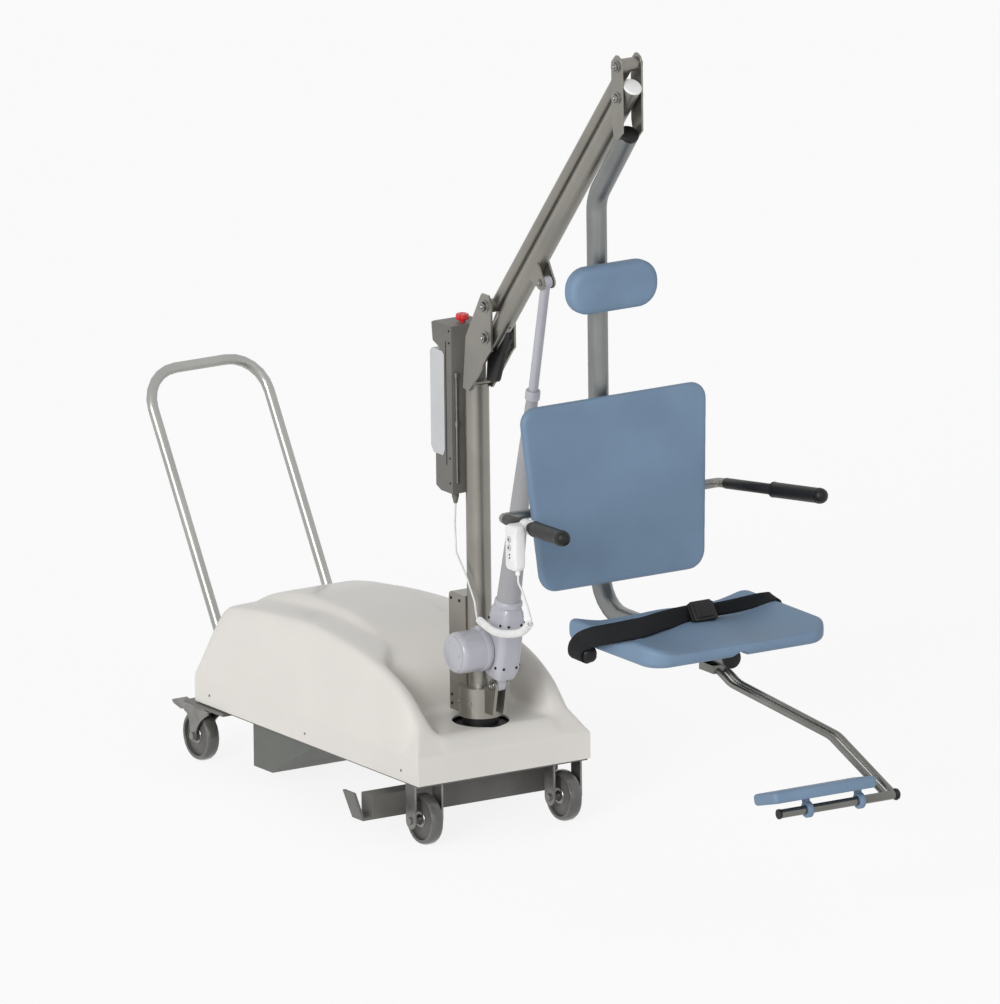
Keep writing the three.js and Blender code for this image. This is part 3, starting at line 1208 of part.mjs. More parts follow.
const leftArmGroup = carrierGroup.children.find((child) => child.children.some((mesh) => mesh.name === "arm_left"));
const handsetGroup = subGroup(leftArmGroup, ...handsetPlace().toArray());
add("handset", handsetGeometry(), finishes.white, handsetGroup);
add("cord_upper", upperCord(), finishes.white, mastGroup);
add("cord_curl", curlyCord(), finishes.white, mastGroup);
add("cord_lower", lowerCord(), finishes.white, mastGroup);

// The whole lift stands with its origin at the centre of its footprint
lift.updateMatrixWorld(true);
const bounds = new THREE.Box3().setFromObject(lift, true);
const centre = bounds.getCenter(new THREE.Vector3());
lift.position.set(-centre.x, -centre.y, -bounds.min.z);
console.log("origin shift", lift.position.toArray().map((v) => v.toFixed(2)).join(" "));

export default lift;
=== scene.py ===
import json
import math

import bmesh
import bpy
from mathutils import Matrix, Vector


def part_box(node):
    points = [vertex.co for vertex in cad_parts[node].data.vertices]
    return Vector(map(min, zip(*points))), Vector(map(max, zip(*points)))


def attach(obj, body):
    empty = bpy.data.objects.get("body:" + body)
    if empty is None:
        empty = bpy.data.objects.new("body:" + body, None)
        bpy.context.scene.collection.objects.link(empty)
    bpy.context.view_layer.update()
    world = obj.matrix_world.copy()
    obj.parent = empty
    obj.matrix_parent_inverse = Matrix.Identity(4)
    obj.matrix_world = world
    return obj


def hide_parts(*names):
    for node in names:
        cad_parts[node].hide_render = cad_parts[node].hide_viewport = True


print("loading the frame")
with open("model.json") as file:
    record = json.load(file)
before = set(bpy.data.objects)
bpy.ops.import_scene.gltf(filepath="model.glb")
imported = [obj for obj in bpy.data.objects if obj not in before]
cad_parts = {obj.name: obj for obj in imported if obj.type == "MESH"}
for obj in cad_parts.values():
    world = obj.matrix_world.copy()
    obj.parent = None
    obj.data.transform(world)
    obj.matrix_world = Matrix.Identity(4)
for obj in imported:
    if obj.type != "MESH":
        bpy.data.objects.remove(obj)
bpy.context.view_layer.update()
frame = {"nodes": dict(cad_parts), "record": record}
nodes = frame["nodes"]


def millimetres(value):
    return value / 1000


def boxCentre(node):
    low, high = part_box(node)
    return (low + high) / 2


mastX = boxCentre("mast_tube").x


def place(x, y, z):
    # a point in millimetres from the mast's axis on the floor, as the CAD source counts
    return Vector((mastX + millimetres(x), millimetres(y), millimetres(z)))


upward, leftward = Vector((0, 0, 1)), Vector((0, -1, 0))


def shifted(x, y, z):
    return Matrix.Translation((millimetres(x), millimetres(y), millimetres(z)))


def placed(x, y, z):
    return Matrix.Translation(place(x, y, z))


def addObject(name, data):
    made = bpy.data.objects.new(name, data)
    bpy.context.scene.collection.objects.link(made)
    return made


def meshOf(name, bm):
    mesh = bpy.data.meshes.new(name)
    bm.to_mesh(mesh)
    bm.free()
    return mesh


def feed(tree, node, inputs):
    # each input takes a value, or a link where the value is another node's socket
    for name, value in dict(inputs).items():
        if isinstance(value, bpy.types.NodeSocket):
            tree.links.new(value, node.inputs[name])
        else:
            node.inputs[name].default_value = value


def addNode(tree, kind, inputs=()):
    made = tree.nodes.new("ShaderNode" + kind)
    feed(tree, made, inputs)
    return made


def newMaterial(name):
    made = bpy.data.materials.new(name)
    made.use_nodes = True
    return made, made.node_tree, made.node_tree.nodes["Principled BSDF"]


# ---- camera, floor and light

camera = {
    "azimuth": 57.85, "elevation": 14.13, "roll": -0.66,
    "aim": (-135.4, 147.9, 768.2),  # the point at the picture's centre, mm
    "pixelsPerMetre": 410, "pictureHeight": 1004, "lens": 1200, "sensor": 36,
}


def makeCamera():
    azimuth = math.radians(camera["azimuth"])
    elevation = math.radians(camera["elevation"])
    back = Vector((
        math.sin(azimuth) * math.cos(elevation),
        -math.cos(azimuth) * math.cos(elevation),
        math.sin(elevation),
    ))
    viewHeight = camera["pictureHeight"] / camera["pixelsPerMetre"]
    distance = camera["lens"] * viewHeight / camera["sensor"]
    data = bpy.data.cameras.new("camera")
    data.lens = camera["lens"]
    data.sensor_width = camera["sensor"]
    data.clip_end = distance * 4
    made = addObject("camera", data)
    made.rotation_mode = "QUATERNION"
    level = (-back).to_track_quat("-Z", "Y")
    made.rotation_quaternion = level @ Matrix.Rotation(math.radians(camera["roll"]), 3, "Z").to_quaternion()
    made.location = place(*camera["aim"]) + back * distance
    bpy.context.scene.camera = made


# the glow lights nothing: it is the white seen directly and in reflections
floor = {"size": 40, "color": (1, 1, 1, 1), "roughness": 0.9, "glow": 0.86}


def whiteRays(tree):
    # 1 for what the camera sees directly, in a reflection or through glass
    rays = addNode(tree, "LightPath").outputs
    either = addNode(tree, "Math", {0: rays["Is Camera Ray"], 1: rays["Is Glossy Ray"]})
    whiteRay = addNode(tree, "Math", {0: either.outputs[0], 1: rays["Is Transmission Ray"]})
    either.operation = whiteRay.operation = "MAXIMUM"
    return whiteRay.outputs[0]


def makeFloor():
    bm = bmesh.new()
    bmesh.ops.create_grid(bm, x_segments=1, y_segments=1, size=floor["size"] / 2)
    made = addObject("floor", meshOf("floor", bm))
    material, tree, shader = newMaterial("floorPaint")
    feed(tree, shader, {"Base Color": floor["color"], "Roughness": floor["roughness"]})
    share = addNode(tree, "Math", {0: whiteRays(tree), 1: floor["glow"]})
    share.operation = "MULTIPLY"
    glow = addNode(tree, "Emission")
    mix = addNode(tree, "MixShader", {
        "Fac": share.outputs[0], 1: shader.outputs["BSDF"], 2: glow.outputs["Emission"],
    })
    feed(tree, tree.nodes["Material Output"], {"Surface": mix.outputs["Shader"]})
    made.data.materials.append(material)


light = {
    "world": 0.43, "aim": (0, 0, 0.8),
    "sun": 1.87, "sunAngle": 25, "sunFrom": (3.5, -5.5, 3.2),
    "fillPower": 76, "fillSize": 5, "fillFrom": (8, -1, 3),
}


def lamp(name, kind, power, origin):
    data = bpy.data.lights.new(name, kind)
    data.energy = power
    made = addObject(name, data)
    made.location = origin
    made.rotation_euler = (Vector(light["aim"]) - Vector(origin)).to_track_quat("-Z", "Y").to_euler()
    return data


def makeLights():
    world = bpy.data.worlds.new("studio")
    world.use_nodes = True
    tree = world.node_tree
    strength = addNode(tree, "MapRange", {"Value": whiteRays(tree), "To Min": light["world"], "To Max": 1})
    feed(tree, tree.nodes["Background"], {"Color": (1, 1, 1, 1), "Strength": strength.outputs["Result"]})
    bpy.context.scene.world = world
    lamp("sun", "SUN", light["sun"], light["sunFrom"]).angle = math.radians(light["sunAngle"])
    lamp("fill", "AREA", light["fillPower"], light["fillFrom"]).size = light["fillSize"]


bpy.context.scene.view_settings.view_transform = "Standard"
makeCamera()
makeFloor()
makeLights()

# ---- materials

finishes = {
    "cover_plastic": {"color": (0.705, 0.68, 0.64), "roughness": 0.36, "coat": 0.15},
    "frame_paint": {"color": (0.13, 0.127, 0.118), "roughness": 0.5},
    "hopper_paint": {"color": (0.118, 0.124, 0.113), "roughness": 0.6},
    "ballast_iron": {"color": (0.13, 0.13, 0.13), "roughness": 0.8},
    "stainless": {"color": (0.27, 0.26, 0.232), "roughness": 0.36, "metallic": 0.85},
    "bolt_steel": {"color": (0.27, 0.265, 0.25), "roughness": 0.3, "metallic": 0.9},
    "caster_steel": {"color": (0.24, 0.235, 0.225), "roughness": 0.4, "metallic": 0.8},
    "hub_plastic": {"color": (0.11, 0.105, 0.10), "roughness": 0.55},
    "tyre_rubber": {"color": (0.088, 0.087, 0.08), "roughness": 0.3, "coat": 0.4},
    "black_plastic": {"color": (0.006, 0.006, 0.0065), "roughness": 0.42, "specular": 0.3},
    "box_paint": {"color": (0.15, 0.143, 0.13), "roughness": 0.5, "specular": 0.35},
    "battery_plastic": {"color": (0.52, 0.53, 0.545), "roughness": 0.42},
    "red_plastic": {"color": (0.60, 0.02, 0.02), "roughness": 0.3, "coat": 0.4},
    "actuator_plastic": {"color": (0.43, 0.43, 0.475), "roughness": 0.33, "coat": 0.25},
    "tube_plastic": {"color": (0.33, 0.33, 0.345), "roughness": 0.33, "coat": 0.25},
    "white_plastic": {"color": (0.82, 0.82, 0.82), "roughness": 0.35},
    "cord_plastic": {"color": (0.76, 0.76, 0.75), "roughness": 0.45},
    "seat_plastic": {"color": (0.160, 0.240, 0.345), "roughness": 0.52, "specular": 0.35},
    "pad_foam": {"color": (0.163, 0.243, 0.35), "roughness": 0.6, "specular": 0.3},
    "handle_steel": {"color": (0.38, 0.38, 0.365), "roughness": 0.3, "metallic": 0.9},
    "post_steel": {"color": (0.21, 0.217, 0.215), "roughness": 0.34, "metallic": 0.85},
    "footrest_steel": {"color": (0.17, 0.168, 0.158), "roughness": 0.24, "metallic": 0.9},
    "webbing": {"color": (0.008, 0.009, 0.010), "roughness": 0.8, "specular": 0.2},
}

# scale and share of the slow change in colour, then scale and strength of the fine bump
grains = {
    "cover_plastic": (3, 0.03, 900, 0.02),
    "frame_paint": (12, 0.12, 500, 0.06),
    "hopper_paint": (9, 0.10, 350, 0.08),
    "ballast_iron": (20, 0.25, 240, 0.25),
    "stainless": (6, 0.08, 1200, 0.012),
    "handle_steel": (6, 0.06, 1200, 0.01),
    "post_steel": (6, 0.08, 1200, 0.012),
    "footrest_steel": (9, 0.12, 1200, 0.015),
    "bolt_steel": (40, 0.10, 900, 0.02),
    "caster_steel": (25, 0.18, 600, 0.05),
    "hub_plastic": (15, 0.15, 700, 0.05),
    "tyre_rubber": (14, 0.22, 500, 0.10),
    "black_plastic": (20, 0.20, 900, 0.05),
    "box_paint": (10, 0.08, 900, 0.05),
    "battery_plastic": (10, 0.05, 900, 0.05),
    "red_plastic": (30, 0.06, 900, 0.02),
    "actuator_plastic": (8, 0.04, 900, 0.03),
    "tube_plastic": (8, 0.05, 900, 0.03),
    "white_plastic": (10, 0.04, 900, 0.03),
    "cord_plastic": (40, 0.06, 900, 0.03),
    "seat_plastic": (5, 0.07, 420, 0.10),
    "pad_foam": (7, 0.09, 300, 0.14),
    "webbing": (60, 0.25, 900, 0.3),
}


# where the slow change starts and ends, how far it shifts the gloss, and the fine bump's height, m
grainShape = {"stops": (0.35, 0.65), "spread": (0.3, 0.7), "gloss": 0.12, "height": 0.001}


def patternSurface(tree, shader, tone, stops, spread, roughness, grit, strength, height):
    # colour and gloss follow the tone, the bump follows the grit
    tones = addNode(tree, "ValToRGB", {"Fac": tone})
    for element, (position, color) in zip(tones.color_ramp.elements, stops):
        element.position, element.color = position, color
    gloss = addNode(tree, "MapRange", {
        "Value": tone, "From Min": spread[0], "From Max": spread[1],
        "To Min": roughness[0], "To Max": roughness[1],
    })
    bump = addNode(tree, "Bump", {"Height": grit, "Strength": strength, "Distance": height})
    feed(tree, shader, {
        "Base Color": tones.outputs["Color"], "Roughness": gloss.outputs["Result"],
        "Normal": bump.outputs["Normal"],
    })


def finishMaterial(name):
    finish = finishes[name]
    scale, share, bumpScale, bumpStrength = grains[name]
    material, tree, shader = newMaterial(name)
    feed(tree, shader, {
        "Metallic": finish.get("metallic", 0), "Specular IOR Level": finish.get("specular", 0.5),
        "Coat Weight": finish.get("coat", 0),
    })
    spots = addNode(tree, "TexCoord").outputs["Object"]
    cloud = addNode(tree, "TexNoise", {"Vector": spots, "Scale": scale, "Detail": 4})
    grit = addNode(tree, "TexNoise", {"Vector": spots, "Scale": bumpScale, "Detail": 2})
    stops = [
        (stop, [min(1, channel * part) for channel in finish["color"]] + [1])
        for stop, part in zip(grainShape["stops"], (1 - share, 1 + share))
    ]
    roughness = [finish["roughness"] * part for part in (1 - grainShape["gloss"], 1 + grainShape["gloss"])]
    patternSurface(
        tree, shader, cloud.outputs["Fac"], stops, grainShape["spread"], roughness, grit.outputs["Fac"],
        bumpStrength, grainShape["height"],
    )
    return material


materials = {name: finishMaterial(name) for name in finishes}
print("materials made")

# ---- CAD nodes that stay: finish, and edges a little rounded

softEdge = {"width": 0.0009, "angle": 42, "segments": 2, "weld": 0.00002}
ownFinish = {  # same slot, another colour and gloss
    "push_handle": "handle_steel", "seat_post": "post_steel", "footrest_frame": "footrest_steel",
    "actuator_tube": "tube_plastic",
}
slotOfNode = {row["node"]: row["material_slot"] for row in frame["record"]["subparts"]}


def dressNode(name):
    node = nodes[name]
    node.data.materials.clear()
    node.data.materials.append(materials[ownFinish.get(name, slotOfNode[name])])
    for face in node.data.polygons:
        face.use_smooth = True
        face.material_index = 0
    weld = node.modifiers.new("weld", "WELD")
    weld.merge_threshold = softEdge["weld"]
    bevel = node.modifiers.new("bevel", "BEVEL")
    bevel.width = softEdge["width"]
    bevel.segments = softEdge["segments"]
    bevel.limit_method = "ANGLE"
    bevel.angle_limit = math.radians(softEdge["angle"])
    normals = node.modifiers.new("normals", "WEIGHTED_NORMAL")
    normals.keep_sharp = True


for name in nodes:
    dressNode(name)
print("CAD nodes dressed")

# ---- helpers for the new pieces


def newPiece(name, bm, body, slot, stoodFor=(), crease=38):
    mesh = meshOf(name, bm)
    mesh.shade_smooth()
    mesh.set_sharp_from_angle(angle=math.radians(crease))
    piece = addObject(name, mesh)
    mesh.materials.append(materials[slot])
    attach(piece, body)
    if stoodFor:
        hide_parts(*stoodFor)
    return piece


def bakeModifiers(piece):
    depsgraph = bpy.context.evaluated_depsgraph_get()
    baked = bpy.data.meshes.new_from_object(piece.evaluated_get(depsgraph))
    piece.modifiers.clear()
    piece.data = baked


def bevelEdges(bm, edges, width, segments):
    bmesh.ops.bevel(bm, geom=edges, offset=width, segments=segments, profile=0.5, material=-1, affect="EDGES")


def extrude(bm, faces, shift):
    made = bmesh.ops.extrude_face_region(bm, geom=faces)
    far = [item for item in made["geom"] if isinstance(item, bmesh.types.BMVert)]
    bmesh.ops.translate(bm, vec=shift, verts=far)
    bmesh.ops.recalc_face_normals(bm, faces=bm.faces)


def prism(sides, radius, height):
    bm = bmesh.new()
    bmesh.ops.create_circle(bm, cap_ends=True, segments=sides, radius=millimetres(radius))
    extrude(bm, list(bm.faces), (0, 0, millimetres(height)))
    return bm


def aimed(origin, direction):
    return Matrix.Translation(origin) @ direction.to_track_quat("Z", "Y").to_matrix().to_4x4()


def flatOn(origin, facing, roughlyUp):
    # a frame whose X looks along facing and whose Z runs as near roughlyUp as it can
    side = roughlyUp.cross(facing).normalized()
    matrix = Matrix((facing, side, facing.cross(side))).transposed().to_4x4()
    matrix.translation = origin
    return matrix


def laid(bm, matrix):
    bmesh.ops.transform(bm, matrix=matrix, verts=bm.verts)
    bmesh.ops.recalc_face_normals(bm, faces=bm.faces)
    return bm


def merge(target, source, matrix=None):
    if matrix is not None:
        bmesh.ops.transform(source, matrix=matrix, verts=source.verts)
    mesh = meshOf("merged", source)
    target.from_mesh(mesh)
    bpy.data.meshes.remove(mesh)


def lathe(profile, steps=32):
    # a turned shape about Z from (radius, height) pairs in millimetres
    bm = bmesh.new()
    line = [bm.verts.new((millimetres(radius), 0, millimetres(height))) for radius, height in profile]
    edges = [bm.edges.new(pair) for pair in zip(line, line[1:])]
    bmesh.ops.spin(
        bm, geom=line + edges, cent=(0, 0, 0), axis=(0, 0, 1), angle=2 * math.pi, steps=steps, use_merge=True
    )
    bmesh.ops.remove_doubles(bm, verts=bm.verts, dist=1e-6)
    bmesh.ops.recalc_face_normals(bm, faces=bm.faces)
    return bm


def broadFaces(bm):
    bm.normal_update()
    level = [face for face in bm.faces if abs(face.normal.x) > 0.999]
    return sorted(level, key=lambda face: face.calc_area())[-2:]


def slab(size, corner, rim, lowShare=1, lowCorner=None, cornerSteps=8, rimSteps=5):
    # a board lying across X, its corners rounded by corner (the lower two by lowCorner where it is given) and
    # its rims by rim, all in millimetres
    bm = bmesh.new()
    bmesh.ops.create_cube(bm, size=1)
    bmesh.ops.scale(bm, vec=[millimetres(side) for side in size], verts=bm.verts)
    bmesh.ops.scale(bm, vec=(1, lowShare, 1), verts=[vert for vert in bm.verts if vert.co.z < 0])
    through = [edge for edge in bm.edges if abs(edge.verts[0].co.x - edge.verts[1].co.x) > 1e-6]
    upper = [edge for edge in through if edge.verts[0].co.z > 0]
    lower = [edge for edge in through if edge.verts[0].co.z < 0]
    bevelEdges(bm, upper, millimetres(corner), cornerSteps)
    bevelEdges(bm, lower, millimetres(lowCorner or corner), cornerSteps)
    bevelEdges(bm, [edge for face in broadFaces(bm) for edge in face.edges], millimetres(rim), rimSteps)
    bmesh.ops.recalc_face_normals(bm, faces=bm.faces)
    return bm


def gridSurface(rows):
    # a grid whose rows of points are given in order
    across, along = len(rows[0]) - 1, len(rows) - 1
    bm = bmesh.new()
    pattern = bm.loops.layers.uv.new("UVMap")
    bmesh.ops.create_grid(bm, x_segments=across, y_segments=along, size=0.5)
    step = {}
    for vert in bm.verts:
        step[vert] = (round((vert.co.x + 0.5) * across), round((vert.co.y + 0.5) * along))
    for vert, (i, j) in step.items():
        vert.co = rows[j][i]
    for face in bm.faces:
        for loop in face.loops:
            i, j = step[loop.vert]
            loop[pattern].uv = (i / across, j / along)
    return bm


def smoothLine(points, count):
    # evenly spread points on a Catmull-Rom line through the given ones, any number of values each
    spans, made = len(points) - 1, []
    for k in range(count):
        at = k / (count - 1) * spans
        i = min(int(at), spans - 1)
        t = at - i
        a, b, c, d = points[max(i - 1, 0)], points[i], points[i + 1], points[min(i + 2, spans)]
        made.append([
            0.5 * (2 * q + (r - p) * t + (2 * p - 5 * q + 4 * r - s) * t * t + (3 * q - p - 3 * r + s) * t**3)
            for p, q, r, s in zip(a, b, c, d)
        ])
    return made


def ease(value):
    value = min(1, max(0, value))
    return value * value * (3 - 2 * value)


def lineHeight(line, share):
    # a smooth line that never swings past its own points
    at = next(i for i in range(len(line) - 1) if share <= line[i + 1][0] or i == len(line) - 2)
    slopes = [(line[i + 1][1] - line[i][1]) / (line[i + 1][0] - line[i][0]) for i in range(len(line) - 1)]

    def lean(i):
        if i == 0 or i == len(line) - 1:
            return slopes[min(i, len(slopes) - 1)]
        before, after = slopes[i - 1], slopes[i]
        return 0 if before * after <= 0 else 2 * before * after / (before + after)

    (start, low), (end, high) = line[at], line[at + 1]
    t, width = (share - start) / (end - start), end - start
    return (
        low * (1 + 2 * t) * (1 - t) ** 2 + lean(at) * width * t * (1 - t) ** 2
        + high * t * t * (3 - 2 * t) - lean(at + 1) * width * t * t * (1 - t)
    )


def soften(piece, voxel, passes):
    remesh = piece.modifiers.new("remesh", "REMESH")
    remesh.mode = "VOXEL"
    remesh.voxel_size = voxel
    remesh.use_smooth_shade = True
    smooth = piece.modifiers.new("smooth", "SMOOTH")
    smooth.iterations = passes
    bakeModifiers(piece)


def drill(piece, body, slot, bores, steps, crease):
    # each bore is a radius, a length, a start and a direction; modifiers that are there are baked too
    tools = []
    for radius, length, start, along in bores:
        bm = lathe([(0, 0), (radius, 0), (radius, length), (0, length)], steps)
        tools.append(newPiece("bore" + str(len(tools)), laid(bm, aimed(start, along)), body, slot))
        bore = piece.modifiers.new("bore", "BOOLEAN")
        bore.object = tools[-1]
        bore.operation = "DIFFERENCE"
        bore.solver = "EXACT"
    bakeModifiers(piece)
    for tool in tools:
        bpy.data.objects.remove(tool)
    piece.data.shade_smooth()
    piece.data.set_sharp_from_angle(angle=math.radians(crease))


# ---- cords, on the same route as the CAD source's

cord = {
    "radius": 2.5, "bend": 26, "lead": 14, "coil": 7.5, "turns": 52, "steps": 14, "plain": 5,
    "down": [(-62, -26, 806), (-60, -30, 760), (-50, -34, 687), (10, -44, 643), (52, -46, 585)],
    "sweep": [(92, -62, 552), (250, -120, 565), (400, -180, 597), (640, -280, 668), (764, -334, 724)],
    "up": [(776, -350, 768), (772, -362, 808), (770, -372, 830), (770, -372, 849)],
}


def roundedRoute(corners, radius, steps=6, shortest=0.0002):
    points = [corners[0]]
    for before, corner, after in zip(corners, corners[1:], corners[2:]):
        back, ahead = (before - corner).normalized(), (after - corner).normalized()
        half = back.angle(ahead) / 2
        reach = min(radius / math.tan(half), (before - corner).length / 2, (after - corner).length / 2)
        centre = corner + (back + ahead).normalized() * (reach / math.cos(half))
        start, end = corner + back * reach - centre, corner + ahead * reach - centre
        points += [centre + start.slerp(end, k / steps).normalized() * start.length for k in range(steps + 1)]
    points.append(corners[-1])
    return points[:1] + [b for a, b in zip(points, points[1:]) if (b - a).length > shortest]


def sweepLine(points, count=400):
    # centripetal Catmull-Rom, evenly spread by its length
    knots = [0]
    for a, b in zip(points, points[1:]):
        knots.append(knots[-1] + (b - a).length ** 0.5)
    first, last = points[0] * 2 - points[1], points[-1] * 2 - points[-2]
    line = [first, *points, last]
    before, after = (points[1] - points[0]).length ** 0.5, (points[-1] - points[-2]).length ** 0.5
    at = [-before, *knots, knots[-1] + after]
    fine = []
    for k in range(count + 1):
        t = knots[-1] * k / count
        i = max(j for j in range(len(points) - 1) if knots[j] <= t + 1e-9)
        p, s = line[i : i + 4], at[i : i + 4]

        def mix(a, b, low, high):
            return a * ((high - t) / (high - low)) + b * ((t - low) / (high - low))

        one, two, three = (mix(p[k], p[k + 1], s[k], s[k + 1]) for k in range(3))
        fine.append(mix(mix(one, two, s[0], s[2]), mix(two, three, s[1], s[3]), s[1], s[2]))
    return fine


def lengthOf(points):
    return sum((b - a).length for a, b in zip(points, points[1:]))


def pointAt(points, lengths, distance):
    i = max(j for j in range(len(points) - 1) if lengths[j] <= distance or j == 0)
    share = (distance - lengths[i]) / max(lengths[i + 1] - lengths[i], 1e-9)
    return points[i].lerp(points[i + 1], share), (points[i + 1] - points[i]).normalized()


def coilPoints():
    route = sweepLine([place(*point) for point in cord["sweep"]])
    lengths = [0]
    for a, b in zip(route, route[1:]):
        lengths.append(lengths[-1] + (b - a).length)
    total = cord["turns"] * cord["steps"]
    lead = millimetres(cord["plain"]) / lengths[-1]
    points = [route[0]]
    for k in range(total + 1):
        middle, along = pointAt(route, lengths, lengths[-1] * (lead + (1 - 2 * lead) * k / total))
        side = along.cross(upward).normalized()
        up = side.cross(along)
        ramp = min(1, k / cord["steps"], (total - k) / cord["steps"]) * millimetres(cord["coil"])
        turn = 2 * math.pi * k / cord["steps"]
        points.append(middle + side * ramp * math.cos(turn) + up * ramp * math.sin(turn))
    return points + [route[-1]], (route[1] - route[0]).normalized(), (route[-1] - route[-2]).normalized()


def cordCurve(name, points, body, stoodFor):
    curve = bpy.data.curves.new(name, "CURVE")
    curve.dimensions = "3D"
    curve.bevel_depth = millimetres(cord["radius"])
    curve.bevel_resolution = 2
    curve.use_fill_caps = True
    spline = curve.splines.new("POLY")
    spline.points.add(len(points) - 1)
    for spot, point in zip(spline.points, points):
        spot.co = (*point, 1)
    curve.materials.append(materials["cord_plastic"])
    made = addObject(name, curve)
    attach(made, body)
    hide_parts(*stoodFor)
    print(name, "is", round(lengthOf(points), 3), "m long")


def makeCords():
    coil, into, out = coilPoints()
    lead, bend = millimetres(cord["lead"]), millimetres(cord["bend"])
    down = [place(*point) for point in cord["down"]] + [coil[0] - into * lead, coil[0]]
    cordCurve("handsetCord", roundedRoute(down, bend) + coil[1:], "mast", ["cord_upper", "cord_curl"])
    up = [coil[-1], coil[-1] + out * lead] + [place(*point) for point in cord["up"]]
    cordCurve("handsetLead", roundedRoute(up, bend), "handset", ["cord_lower"])


makeCords()
print("cords made")

# ---- pads: moulded foam with a fine grain

headrest = {"x": 615, "z": 1481, "size": (46, 250, 116), "corner": 54, "rim": 15, "crown": 2, "voxel": 0.004}
backrest = {
    "top": (614, 1213), "bottom": (652, 756), "topWidth": 534, "bottomWidth": 466, "thick": 23, "corner": 44,
    "rim": 9, "crown": 1.6, "voxel": 0.005,
}
seat = {
    "rear": 795, "front": 1191, "width": 518, "top": 735, "thick": 57, "corner": 60, "rearCorner": 32,
    "rim": 19, "dish": 27, "ribRise": 0.12, "voxel": 0.0045,
    "beltDip": 15, "beltX": 1012, "beltReach": 95, "beltSide": 190, "beltEase": 60,
    "channel": 27.3, "channelStart": 765, "channelLength": 460, "channelHeight": 665,
}
footboard = {
    "pivot": (1487, 366), "size": (29, 294, 105), "tilt": 15, "lift": 41, "middle": (3, 17), "corner": 12,
    "rim": 9,
}
# the two clips that hold the board on its bar
boardClip = {
    "spots": (-10, 138), "ring": [(11.6, -7), (19, -7), (20, -5.5), (20, 5.5), (19, 7), (11.6, 7), (11.6, -7)],
    "neck": (20, 12, 30), "neckX": -2, "neckHeight": 25, "corner": 2, "rim": 1.5,
}
lying = Matrix(((0, 0, 1), (0, 1, 0), (1, 0, 0))).to_4x4()  # lays a slab flat


def crownedPad(name, bm, size, facts, matrix, slot, stoodFor):
    # a slab that swells a little towards its middle on both sides
    piece = newPiece(name, bm, "carrier", slot, stoodFor, crease=180)
    soften(piece, facts["voxel"], 5)
    for vert in piece.data.vertices:
        across, high = 2000 * vert.co.y / size[1], 2000 * vert.co.z / size[2]
        swell = max(0, 1 - across**2) * max(0, 1 - high**2)
        vert.co.x += math.copysign(millimetres(facts["crown"]) * swell, vert.co.x)
    piece.data.transform(matrix)


def makeHeadrest():
    bm = slab(headrest["size"], headrest["corner"], headrest["rim"], rimSteps=7, cornerSteps=12)
    matrix = placed(headrest["x"], 0, headrest["z"])
    crownedPad("headrestCushion", bm, headrest["size"], headrest, matrix, "pad_foam", ["headrest_pad"])


def makeBackrest():
    (topX, topZ), (bottomX, bottomZ) = backrest["top"], backrest["bottom"]
    lean = math.atan2(bottomX - topX, topZ - bottomZ)
    size = (backrest["thick"], backrest["topWidth"], (topZ - bottomZ) / math.cos(lean) - 2)
    narrow = backrest["bottomWidth"] / backrest["topWidth"]
    bm = slab(size, backrest["corner"], backrest["rim"], lowShare=narrow, cornerSteps=10)
    matrix = placed((topX + bottomX) / 2, 0, (topZ + bottomZ) / 2) @ Matrix.Rotation(-lean, 4, "Y")
    crownedPad("backrestPanel", bm, size, backrest, matrix, "seat_plastic", ["backrest"])


def seatTop(x, y):
    # height of the dished top in millimetres, with a low rib between the thighs
    across = max(-1, min(1, 2 * y / seat["width"]))
    along = 2 * (x - (seat["rear"] + seat["front"]) / 2) / (seat["front"] - seat["rear"])
    hollow = (1 - across**4) * (0.75 + 0.25 * max(0, along)) - math.cos(across * 2 * math.pi) * seat["ribRise"]
    dip = max(0, 1 - ((x - seat["beltX"]) / seat["beltReach"]) ** 2) ** 2  # where the strap goes over the rim
    dip *= ease((-y - seat["beltSide"]) / seat["beltEase"])
    return seat["top"] - seat["dish"] * hollow - seat["beltDip"] * dip


def makeSeat():
    bm = slab(
        (seat["thick"], seat["width"], seat["front"] - seat["rear"] - 2), seat["corner"], seat["rim"],
        lowCorner=seat["rearCorner"], cornerSteps=10, rimSteps=8,
    )
    middleX, middleZ = (seat["rear"] + seat["front"]) / 2, seat["top"] - seat["thick"] / 2
    laid(bm, placed(middleX, 0, middleZ) @ lying)
    piece = newPiece("seatShell", bm, "carrier", "seat_plastic", ["seat"], crease=180)
    soften(piece, seat["voxel"], 6)
    middle = place(0, 0, middleZ).z
    for vert in piece.data.vertices:
        raised = (vert.co.z - middle) / millimetres(seat["thick"] / 2)
        if raised > 0:
            x, y = (vert.co.x - mastX) * 1000, vert.co.y * 1000
            vert.co.z -= millimetres(seat["top"] - seatTop(x, y)) * ease(raised)
    start = place(seat["channelStart"], 0, seat["channelHeight"])
    channel = (seat["channel"], seat["channelLength"], start, Vector((1, 0, 0)))
    drill(piece, "carrier", "seat_plastic", [channel], steps=48, crease=50)


